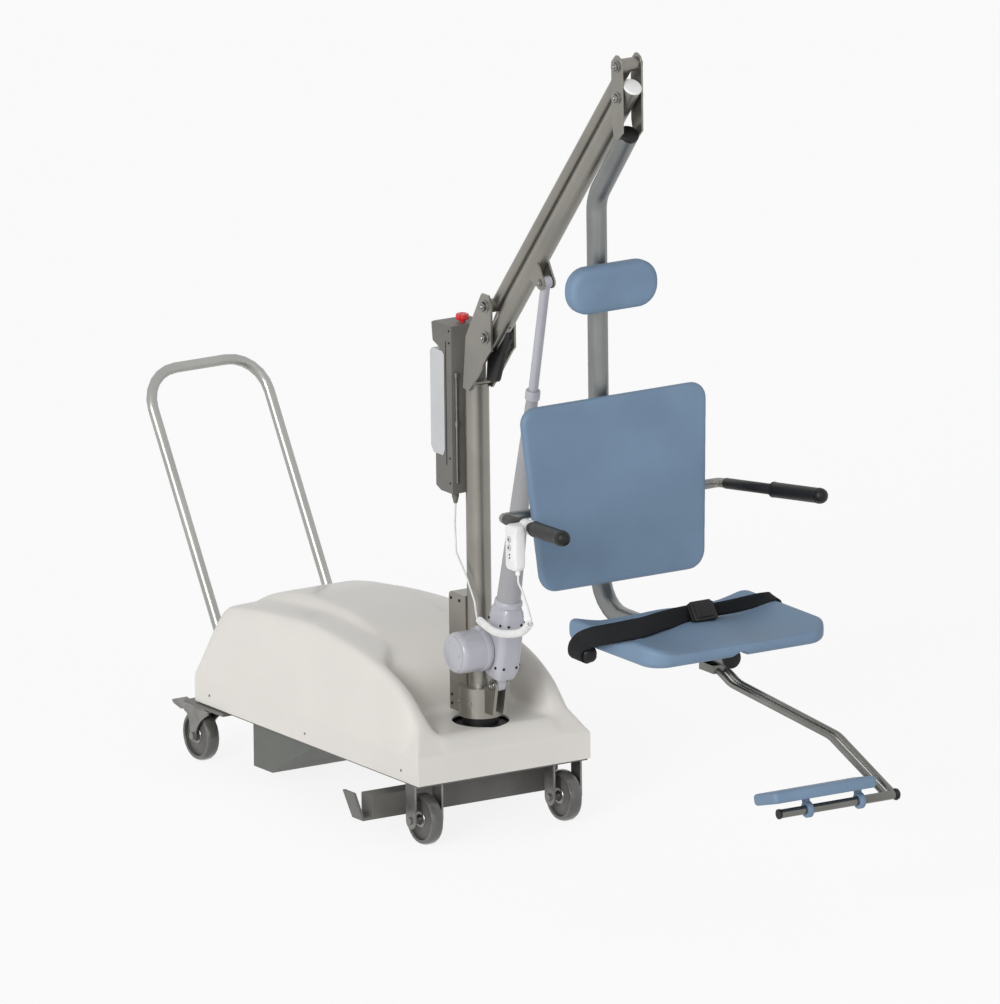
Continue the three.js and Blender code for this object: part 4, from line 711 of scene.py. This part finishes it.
def makeFootboard():
    x, z = footboard["pivot"]
    tilted = placed(x, 0, z) @ Matrix.Rotation(math.radians(-footboard["tilt"]), 4, "Y")
    bm = slab(footboard["size"], footboard["corner"], footboard["rim"])
    laid(bm, tilted @ shifted(*footboard["middle"], footboard["lift"]) @ lying)
    for y in boardClip["spots"]:
        merge(bm, lathe(boardClip["ring"], 40), aimed(place(x, y, z), -leftward))
        neck = slab(boardClip["neck"], boardClip["corner"], boardClip["rim"], cornerSteps=2, rimSteps=2)
        merge(bm, neck, tilted @ shifted(boardClip["neckX"], y, boardClip["neckHeight"]))
    piece = newPiece("footboardPad", bm, "footboard", "seat_plastic", ["footboard"], crease=50)


makeHeadrest()
makeBackrest()
makeSeat()
makeFootboard()
print("pads made")

# ---- lap belt: webbing that stands on the seat, with a pinned buckle

belt = {
    "thick": 2.6,
    # lower edge, then upper edge, from the loop at the left side of the seat to the right side
    "edges": [
        (940, -258, 674, 884, -258, 674), (938, -264, 662, 884, -264, 662), (936, -273, 654, 882, -273, 654),
        (935, -286, 652, 878, -286, 653), (935, -297, 663, 876, -298, 667), (942, -299, 683, 884, -300, 695),
        (966, -293, 697, 908, -293, 722), (1002, -286, 709, 952, -285, 744), (1032, -270, 719, 988, -267, 756),
        (1044, -244, 724, 1006, -240, 762), (1035, -200, 720, 1001, -203, 762),
        (1014, -156, 716, 987, -158, 759), (985, -90, 715, 966, -91, 759), (957, -8, 715, 946, -6, 757),
        (944, 50, 716, 941, 54, 751), (938, 95, 716, 938, 105, 750), (938, 140, 716, 940, 155, 753),
        (944, 190, 722, 941, 205, 756), (952, 232, 733, 932, 236, 752), (954, 254, 736, 918, 254, 743),
        (950, 266, 722, 905, 266, 725), (948, 266, 700, 898, 267, 700),
    ],
    "across": 6, "along": 150,
}
# the strap's end under the seat's rim
anchor = {"at": (911, -275, 671), "size": (66, 41, 40), "corner": 16, "rim": 13}
buckle = {
    "at": (957, 33, 739), "facing": (0.8, 0, 0.6), "size": (16, 62, 54), "corner": 6, "rim": 3.5,
    "cap": (5, 46, 38), "capCorner": 4, "capRim": 2, "capOut": 8.5,
    "lug": (9, 8, 46), "lugCorner": 3, "lugRim": 1.5, "lugIn": 1, "lugSide": 33,
}
weave = {
    "dark": (0.004, 0.005, 0.006, 1), "pale": (0.012, 0.014, 0.016, 1), "roughness": (0.62, 0.86),
    "specular": 0.2, "repeat": (14, 190, 1), "scale": 1.6, "wander": 0.6, "bump": 0.5, "height": 0.0006,
}


def webbingMaterial():
    # narrow ribs that run slanting over the strap's own map
    made, tree, shader = newMaterial("webbingWeave")
    feed(tree, shader, {"Specular IOR Level": weave["specular"]})
    spots = addNode(tree, "TexCoord").outputs["UV"]
    stretch = addNode(tree, "Mapping", {"Vector": spots, "Scale": weave["repeat"]})
    ribs = addNode(tree, "TexWave", {
        "Vector": stretch.outputs["Vector"], "Scale": weave["scale"], "Distortion": weave["wander"],
    })
    ribs.bands_direction = "DIAGONAL"
    tone = ribs.outputs["Fac"]
    stops = ((0, weave["dark"]), (1, weave["pale"]))
    patternSurface(
        tree, shader, tone, stops, (0, 1), weave["roughness"], tone, weave["bump"], weave["height"],
    )
    return made


def makeBelt():
    rows = []
    for row in smoothLine(belt["edges"], belt["along"]):
        lower, upper = place(*row[:3]), place(*row[3:])
        rows.append([lower.lerp(upper, i / belt["across"]) for i in range(belt["across"] + 1)])
    piece = newPiece("lapStrap", gridSurface(rows), "carrier", "webbing", ["lap_belt"], crease=70)
    piece.data.materials[0] = webbingMaterial()
    thick = piece.modifiers.new("thick", "SOLIDIFY")
    thick.thickness = millimetres(belt["thick"])
    thick.offset = 0
    bakeModifiers(piece)


def makeBuckle():
    bm = slab(buckle["size"], buckle["corner"], buckle["rim"], cornerSteps=4, rimSteps=3)
    cap = slab(buckle["cap"], buckle["capCorner"], buckle["capRim"], cornerSteps=4, rimSteps=3)
    merge(bm, cap, shifted(buckle["capOut"], 0, 0))
    for side in (-1, 1):
        lug = slab(buckle["lug"], buckle["lugCorner"], buckle["lugRim"], cornerSteps=3, rimSteps=2)
        merge(bm, lug, shifted(-buckle["lugIn"], side * buckle["lugSide"], 0))
    laid(bm, flatOn(place(*buckle["at"]), Vector(buckle["facing"]).normalized(), upward))
    newPiece("beltBuckle", bm, "carrier", "black_plastic", ["belt_buckle"])


def makeAnchor():
    bm = slab(anchor["size"], anchor["corner"], anchor["rim"], cornerSteps=5, rimSteps=5)
    newPiece("strapAnchor", laid(bm, placed(*anchor["at"])), "carrier", "black_plastic")


makeBelt()
makeAnchor()
makeBuckle()
print("belt made")

# ---- base cover: one smooth moulding over the chassis

cover = {
    "rear": -924, "front": 107, "half": 248, "bottom": 160, "skirt": 66, "wall": 5, "inset": 33, "shoulder": 13,
    "well": 150, "wellFrom": 0.66, "wellEase": 0.1, "hump": 104, "run": 34,
    "ridge": [
        (0, 0), (0.03, 72), (0.07, 164), (0.1, 189), (0.2, 206), (0.34, 220), (0.46, 226), (0.58, 218),
        (0.68, 203), (0.77, 182), (0.83, 160), (0.89, 124), (0.94, 68), (0.975, 27), (1, 0),
    ],
    "middle": [
        (0, 0), (0.03, 74), (0.07, 168), (0.1, 198), (0.2, 231), (0.34, 249), (0.46, 247), (0.58, 229),
        (0.645, 207), (0.7, 182), (0.745, 142), (0.785, 62), (0.83, 47), (0.965, 43), (0.985, 23), (1, 0),
    ],
}
# the openings for the mast and for the push handle's two legs
mastOpening = {"radius": 70.5, "low": 150, "length": 300}
legOpening = {"radius": 16, "length": 220, "foot": (-861, 168, 195), "top": (-1279, 168, 905)}


def coverSection(share):
    # one section across the cover: skirt, shoulder, ridge, middle, then the same mirrored
    x = cover["rear"] + (cover["front"] - cover["rear"]) * share
    base = cover["bottom"] + cover["skirt"]
    height = lineHeight(cover["ridge"], share)
    ridge, middle = base + height, base + lineHeight(cover["middle"], share)
    half = cover["hump"] + (cover["well"] - cover["hump"]) * ease(
        (share - cover["wellFrom"]) / cover["wellEase"]
    )
    full, run = cover["half"], cover["run"]
    rise = min(1, height / (cover["skirt"] if share > 0.3 else 2.6 * cover["skirt"]))
    top, soft = full - cover["inset"] * rise, cover["shoulder"] * rise
    wide = cover["shoulder"] * max(rise, 0.5)

    def blend(amount):
        return ridge + (middle - ridge) * amount

    shoulder = (top + soft * 0.35, ridge - soft)
    side = [(full, cover["bottom"]), (full, cover["bottom"] + 3), (full, base - 4)]
    for amount in (0.02, 0.06, 0.5, 0.94):
        side.append((full + (shoulder[0] - full) * amount, base + (shoulder[1] - base) * amount))
    side += [
        (top - wide * 0.3, ridge - soft * 0.25), (top - wide * 1.3, ridge), (half + run, blend(0.03)),
        (half + run * 0.7, blend(0.2)), (half + run * 0.4, blend(0.6)), (half + run * 0.12, blend(0.92)),
        (half - run * 0.2, middle), (half / 2, middle),
    ]
    return x, [*side, (0, middle), *[(-y, z) for y, z in reversed(side)]]


def makeCover():
    shares = [0.0025, 0.008, 0.018] + [0.03 + 0.0125 * k for k in range(76)] + [0.982, 0.992, 0.9975]
    rows = []
    for share, low in ((0, True), (0, False), *((share, False) for share in shares), (1, False), (1, True)):
        x, section = coverSection(share)
        rows.append([place(x, y, min(z, cover["bottom"]) if low else z) for y, z in section])
    bm = gridSurface(rows)
    bmesh.ops.remove_doubles(bm, verts=bm.verts, dist=1e-5)
    bmesh.ops.recalc_face_normals(bm, faces=bm.faces)
    topFace = max(bm.faces, key=lambda face: face.calc_center_median().z)
    if topFace.normal.z < 0:
        bmesh.ops.reverse_faces(bm, faces=bm.faces)
    piece = newPiece("baseCover", bm, "cart", "cover_plastic", ["cover_shell"], crease=180)
    rounding = piece.modifiers.new("rounding", "SUBSURF")
    rounding.levels = rounding.render_levels = 1
    wall = piece.modifiers.new("wall", "SOLIDIFY")
    wall.thickness = millimetres(cover["wall"])
    wall.offset = -1
    bores = [(mastOpening["radius"], mastOpening["length"], place(0, 0, mastOpening["low"]), upward)]
    for side in (-1, 1):
        (x, y, z), (topX, topY, topZ) = legOpening["foot"], legOpening["top"]
        foot = place(x, side * y, z)
        along = place(topX, topY, topZ) - place(x, y, z)
        bores.append((legOpening["radius"], legOpening["length"], foot, along))
    drill(piece, "cart", "cover_plastic", bores, steps=64, crease=38)
    piece.data.materials.clear()
    piece.data.materials.append(materials["cover_plastic"])


makeCover()
print("cover made")

# ---- arms and handset

sleeve = {
    "elbow": (603, 310, 947), "tip": (970, 369, 980), "radius": 13.4, "bore": 12.1, "start": 26, "end": 196.5,
    "hook": (138, 175.5),  # the gap for the handset's hook
}
gripRings = {
    "at": 200 / 373.2,  # share of the way from elbow to tip
    "start": [(17.5, 0), (19.6, 0.6), (19.6, 4), (19, 5), (19, 8), (17.5, 8), (17.5, 0)],
    "end": [(17.5, 164), (19.5, 164), (19.7, 165), (19.7, 168), (19.5, 169), (17.5, 169), (17.5, 164)],
}
keys = {
    "x": 757.1, "top": 960.9, "face": -386.9, "panel": (3, 36, 74), "corner": 15, "rim": 1.2, "panelIn": 1,
    "up": 24, "down": 44, "key": [(0, 0), (8, 0), (8, 2.2), (7, 3), (3, 2.6), (0, 2.5)], "keyOut": 0.8,
    "arrow": 3.6, "arrowHigh": 0.6, "arrowOut": 3.2,
    "lampDrops": (62, 70), "lamp": [(0, 0), (2, 0), (2, 1.4), (1.2, 2), (0, 2.1)],
}


def makeSleeves():
    (x, y, z), (tipX, tipY, tipZ) = sleeve["elbow"], sleeve["tip"]
    inner, outer = sleeve["bore"], sleeve["radius"]
    for name, side in (("left", -1), ("right", 1)):
        elbow = place(x, side * y, z)
        arm = place(tipX, side * tipY, tipZ) - elbow
        spans = [(sleeve["start"], sleeve["end"])]
        if name == "left":
            spans = [(sleeve["start"], sleeve["hook"][0]), (sleeve["hook"][1], sleeve["end"])]
        bm = bmesh.new()
        for start, end in spans:
            tube = lathe([
                (inner, start), (outer - 1, start), (outer, start + 1.5), (outer, end - 1.5), (outer - 1, end),
                (inner, end), (inner, start),
            ])
            merge(bm, tube, aimed(elbow, arm))
        newPiece("armSleeve_" + name, bm, "arm_" + name, "black_plastic")
        bm = lathe(gripRings["start"])
        merge(bm, lathe(gripRings["end"]))
        laid(bm, aimed(elbow + arm * gripRings["at"], arm))
        newPiece("gripRings_" + name, bm, "arm_" + name, "black_plastic")


def onHandset(drop, out):
    # a point on the handset's outer face, below its top and in front of the face
    return place(keys["x"], keys["face"] - out, keys["top"] - drop)


def makeKeys():
    panel = slab(keys["panel"], keys["corner"], keys["rim"], rimSteps=2)
    laid(panel, flatOn(onHandset(keys["down"], -keys["panelIn"]), leftward, upward))
    newPiece("handsetPanel", panel, "handset", "white_plastic")
    bm, arrows = bmesh.new(), bmesh.new()
    for drop, turn in ((keys["up"], math.pi), (keys["down"], 0)):
        merge(bm, lathe(keys["key"]), aimed(onHandset(drop, keys["keyOut"]), leftward))
        lie = flatOn(onHandset(drop, keys["arrowOut"]), leftward, upward) @ Matrix.Rotation(math.pi / 2, 4, "Y")
        merge(arrows, prism(3, keys["arrow"], keys["arrowHigh"]), lie @ Matrix.Rotation(turn, 4, "Z"))
    for drop in keys["lampDrops"]:
        merge(arrows, lathe(keys["lamp"], 16), aimed(onHandset(drop, keys["keyOut"]), leftward))
    newPiece("handsetKeys", bm, "handset", "battery_plastic")
    newPiece("handsetArrows", arrows, "handset", "black_plastic")


makeSleeves()
makeKeys()

# ---- boom stop, emergency knob, control box and battery

boomStop = {
    "outline": [
        (76, 1206), (116, 1225), (146, 1256), (160, 1276), (170, 1279), (174, 1262), (146, 1222), (116, 1148),
        (110, 1142), (82, 1139), (75, 1146),
    ],
    "from": -16, "to": -2, "rim": 2.5,
}
knob = {
    "x": -63, "low": 1261, "radius": 16, "notches": 8, "depth": 0.84, "stem": 6.9, "stemDepth": 11.5,
    # share of the radius, then height
    "profile": [
        (0, 0), (0.55, 0), (0.62, 1), (0.95, 2), (1, 4), (1, 14), (0.9, 16.4), (0.6, 17), (0.5, 15.5), (0, 15),
    ],
}


def plateAlongY(outline, start, end, rim):
    bm = bmesh.new()
    face = bm.faces.new([bm.verts.new(place(x, start, z)) for x, z in outline])
    extrude(bm, [face], (0, millimetres(end - start), 0))
    bevelEdges(bm, list(bm.edges), millimetres(rim), 3)
    return bm


def makeBoomStop():
    bm = plateAlongY(boomStop["outline"], boomStop["from"], boomStop["to"], boomStop["rim"])
    newPiece("boomStopBlock", bm, "boom", "black_plastic", ["stop_bracket"])


def makeKnob():
    bm = lathe([(knob["radius"] * share, high) for share, high in knob["profile"]], knob["notches"] * 6)
    for vert in bm.verts:  # notches, above the base
        if vert.co.z > millimetres(1.5):
            turn = math.atan2(vert.co.y, vert.co.x) * knob["notches"]
            pinch = 1 - (1 - knob["depth"]) * ease((math.cos(turn) - 0.2) / 0.5)
            vert.co.x *= pinch
            vert.co.y *= pinch
    radius, foot = knob["stem"], -knob["stemDepth"]
    merge(bm, lathe([(0, foot), (radius, foot), (radius, 1), (0, 1)], 24))
    laid(bm, placed(knob["x"], 0, knob["low"]))
    newPiece("stopKnob", bm, "stop_button", "red_plastic", ["emergency_button"])


makeBoomStop()
makeKnob()


def panScrew(radius):
    # a low round head with a socket
    return lathe([
        (0, -1), (radius * 0.96, -1), (radius, 0.2), (radius * 0.9, radius * 0.35),
        (radius * 0.5, radius * 0.5), (radius * 0.42, radius * 0.5), (radius * 0.4, radius * 0.12),
        (0, radius * 0.1),
    ], 24)


def hexNut(radius, height, bolt, stand):
    # on a washer that reaches two millimetres below it
    bm = prism(6, radius, height)
    bevelEdges(bm, list(bm.edges), millimetres(0.8), 2)
    top = height + stand
    merge(bm, lathe([(0, height - 1), (bolt, height - 1), (bolt, top - 1), (bolt - 1, top), (0, top)], 24))
    merge(bm, lathe([
        (bolt, -2), (radius * 1.25, -2), (radius * 1.25, -0.6), (radius * 1.18, 0), (bolt, 0), (bolt, -2),
    ], 32))
    return bm


# body, slot, facing, radius, then the places in millimetres
screws = {
    "boxScrews": ("mast", "black_plastic", (0, -1, 0), 3, [
        (-46, -50, 1213), (-46, -50, 924), (-46, -50, 862), (-46, -50, 1243),
    ]),
    "boxRivets": ("mast", "bolt_steel", (0, -1, 0), 3.2, [
        (-100, -50, 868), (-40.5, -50, 1134), (-40.5, -50, 1012),
    ]),
    "spineScrews": ("mast", "black_plastic", (0, -1, 0), 4, [
        (-82, -30, 565), (-44, -30, 565), (-82, -30, 322), (-82, -30, 300),
    ]),
    "coverScrews": ("cart", "bolt_steel", (0, -1, 0), 3.4, [
        (-856, -248, 186), (28, -248, 186), (-414, -248, 184),
    ]),
    "coverScrewsRight": ("cart", "bolt_steel", (0, 1, 0), 3.4, [
        (-856, 248, 186), (28, 248, 186), (-414, 248, 184),
    ]),
}
for name, (body, slot, facing, radius, spots) in screws.items():
    bm = bmesh.new()
    for spot in spots:
        merge(bm, panScrew(radius), aimed(place(*spot), Vector(facing)))
    newPiece(name, bm, body, slot)

# body, nut radius, height, bolt radius, stand, then the places, each on both sides
nuts = {
    "mastHeadNuts": ("mast", 13, 8, 6.5, 3, [(97, 36.6, 1254), (97, 36.6, 1332)]),
    "boomHeadNuts": ("carrier", 12, 7, 6, 3, [(696.7, 30.6, 1968.7), (696.7, 30.6, 2046.7)]),
    "lugNuts": ("boom", 10, 6, 5, 3, [(319.9, 13.4, 1432.5)]),
    "clevisNuts": ("mast", 9, 6, 5, 3, [(85, 19.4, 376)]),
}
for name, (body, radius, height, bolt, stand, spots) in nuts.items():
    bm = bmesh.new()
    for x, y, z in spots:
        for side in (-1, 1):
            seated = aimed(place(x, side * (y + 2), z), Vector((0, side, 0)))
            merge(bm, hexNut(radius, height, bolt, stand), seated)
    newPiece(name, bm, body, "bolt_steel")

# a slim conduit with two clips on the box's side that faces the mast, and a seam down the box's left side
conduit = {"x": -33, "y": -38, "low": 864, "length": 268, "radius": 3, "clips": (1006, 1128), "clip": (5, 12)}
boxSeam = {"at": (-61, -50.4, 1060.5), "size": (2, 1.6, 311), "corner": 0.6, "rim": 0.4}
# finger ribs and a latch on the battery's outer face
batteryRib = {"x": -130.2, "top": 1150, "apart": 9, "count": 5, "size": (3, 60, 4), "corner": 1.6, "rim": 1.2}
latch = {"at": (-126, 0, 1176), "size": (8, 34, 16), "corner": 4, "rim": 3}


def makeBoxDetails():
    bm = bmesh.new()
    inner, (outer, high) = conduit["radius"], conduit["clip"]
    tube = lathe([(0, 0), (inner, 0), (inner, conduit["length"]), (0, conduit["length"])], 16)
    merge(bm, tube, placed(conduit["x"], conduit["y"], conduit["low"]))
    for z in conduit["clips"]:
        clip = lathe([(inner, 0), (outer, 0), (outer, high), (inner, high), (inner, 0)], 20)
        merge(bm, clip, placed(conduit["x"], conduit["y"], z))
    newPiece("boxConduit", bm, "mast", "bolt_steel")
    strip = slab(boxSeam["size"], boxSeam["corner"], boxSeam["rim"], cornerSteps=2, rimSteps=1)
    laid(strip, flatOn(place(*boxSeam["at"]), leftward, upward))
    newPiece("boxSeam", strip, "mast", "black_plastic")
    bm = bmesh.new()
    for k in range(batteryRib["count"]):
        rib = slab(batteryRib["size"], batteryRib["corner"], batteryRib["rim"], cornerSteps=3, rimSteps=2)
        z = batteryRib["top"] - batteryRib["apart"] * k
        merge(bm, rib, placed(batteryRib["x"], 0, z))
    catch = slab(latch["size"], latch["corner"], latch["rim"], cornerSteps=4, rimSteps=3)
    merge(bm, catch, placed(*latch["at"]))
    newPiece("batteryRibs", bm, "mast", "battery_plastic")


makeBoxDetails()
print("box and stop details made")

# ---- actuator and motor details, along the actuator's own axis

axis = {"origin": (85, 0, 376), "along": (0.21702, 0, 0.976167)}
alongAxis = Vector(axis["along"]).normalized()
acrossAxis = Vector((alongAxis.z, 0, -alongAxis.x))


def onAxis(along, across=0, y=0):
    shift = alongAxis * millimetres(along) + acrossAxis * millimetres(across)
    return place(*axis["origin"]) + shift + Vector((0, millimetres(y), 0))


# places along, across and beside the actuator's axis
housingScrew = {"radius": 3.6, "along": (62, 176), "across": 26, "side": 33.8, "front": 39.8, "frontSide": 18}
housingSeam = {"along": 150, "size": (1.6, 69, 81), "corner": 18.5, "rim": 0.5}
tubeRings = {
    "foot": [
        (29.6, 216), (34, 216), (34.6, 218), (34.6, 226), (33.6, 229), (30.4, 232), (29.6, 232), (29.6, 216),
    ],
    "head": [(15.1, 770), (18, 770), (18.4, 771), (18.4, 790), (17.4, 793), (15.1, 793), (15.1, 770)],
}
# a band round the motor with its clamp lug, and a ring and three screws on the motor's end
motor = {
    "at": (90, -30), "band": [(52, 44), (53.6, 44), (54, 45), (54, 57), (53.6, 58), (52, 58), (52, 44)],
    "endRing": [(40, 124.4), (44, 124.4), (44, 118), (40, 118), (40, 124.4)],
    "screws": 3, "screwRadius": 3.4, "screwOut": 30, "screwHeight": 125,
    "lug": (18, 16, 20), "lugAt": (140, -38, -51), "lugCorner": 4, "lugRim": 2,
}


def makeActuatorDetails():
    bm = bmesh.new()
    radius = housingScrew["radius"]
    for along in housingScrew["along"]:
        for across in (-housingScrew["across"], housingScrew["across"]):
            for side in (-1, 1):
                spot = onAxis(along, across, side * housingScrew["side"])
                merge(bm, panScrew(radius), aimed(spot, Vector((0, side, 0))))
    for along in housingScrew["along"]:
        for side in (-1, 1):
            spot = onAxis(along, housingScrew["front"], side * housingScrew["frontSide"])
            merge(bm, panScrew(radius), aimed(spot, acrossAxis))
    newPiece("housingScrews", bm, "actuator", "black_plastic")
    bm = slab(housingSeam["size"], housingSeam["corner"], housingSeam["rim"], rimSteps=1)
    laid(bm, flatOn(onAxis(housingSeam["along"]), alongAxis, -acrossAxis))
    merge(bm, lathe(tubeRings["foot"], 48), aimed(onAxis(0), alongAxis))
    merge(bm, lathe(tubeRings["head"], 40), aimed(onAxis(0), alongAxis))
    newPiece("housingRings", bm, "actuator", "actuator_plastic")
    bm = lathe(motor["band"], 64)
    for k in range(motor["screws"]):
        turn = Matrix.Rotation(k * 2 * math.pi / motor["screws"], 4, "Z")
        out = shifted(motor["screwOut"], 0, motor["screwHeight"])
        merge(bm, panScrew(motor["screwRadius"]), turn @ out)
    merge(bm, lathe(motor["endRing"], 48))
    laid(bm, aimed(onAxis(*motor["at"]), leftward))
    lug = slab(motor["lug"], motor["lugCorner"], motor["lugRim"], cornerSteps=3, rimSteps=2)
    merge(bm, lug, Matrix.Translation(onAxis(*motor["lugAt"])))
    newPiece("motorBand", bm, "actuator", "actuator_plastic")


makeActuatorDetails()

# ---- the foot bar's ball and cap, and the wheels' race rings

barEnds = {
    "ball": [(0, 0), (13, 1), (15, 5), (13.4, 11), (8, 15), (0, 16)], "ballY": 236,
    "cap": [(0, 0), (11.4, 0), (12.4, 1), (12.4, 6), (11.2, 6), (0, 6)], "capY": -88,
}


def makeFootrestDetails():
    x, z = footboard["pivot"]
    bm = laid(lathe(barEnds["ball"]), aimed(place(x, barEnds["ballY"], z), -leftward))
    merge(bm, lathe(barEnds["cap"]), aimed(place(x, barEnds["capY"], z), leftward))
    newPiece("footBarCaps", bm, "carrier", "black_plastic")


# x and y of each wheel, then how far from its middle the rings stand
wheels = {"front": (57, 200, 12.4), "rear": (-948, 217, 12.8)}
raceRing = {"axle": 64, "profile": [(14, 0), (20, 0), (21, 0.8), (20, 2), (15, 2.4), (14, 2), (14, 0)]}


def makeWheelDetails():
    for name, side in (("left", -1), ("right", 1)):
        for end, (x, y, reach) in wheels.items():
            bm = bmesh.new()
            for out in (-1, 1):
                ring = lathe([(radius, reach + high) for radius, high in raceRing["profile"]])
                merge(bm, ring, aimed(place(x, side * y, raceRing["axle"]), Vector((0, out, 0))))
            newPiece(end + "RaceRings_" + name, bm, end + "_wheel_" + name, "bolt_steel")


makeFootrestDetails()
makeWheelDetails()
print("small fittings made")
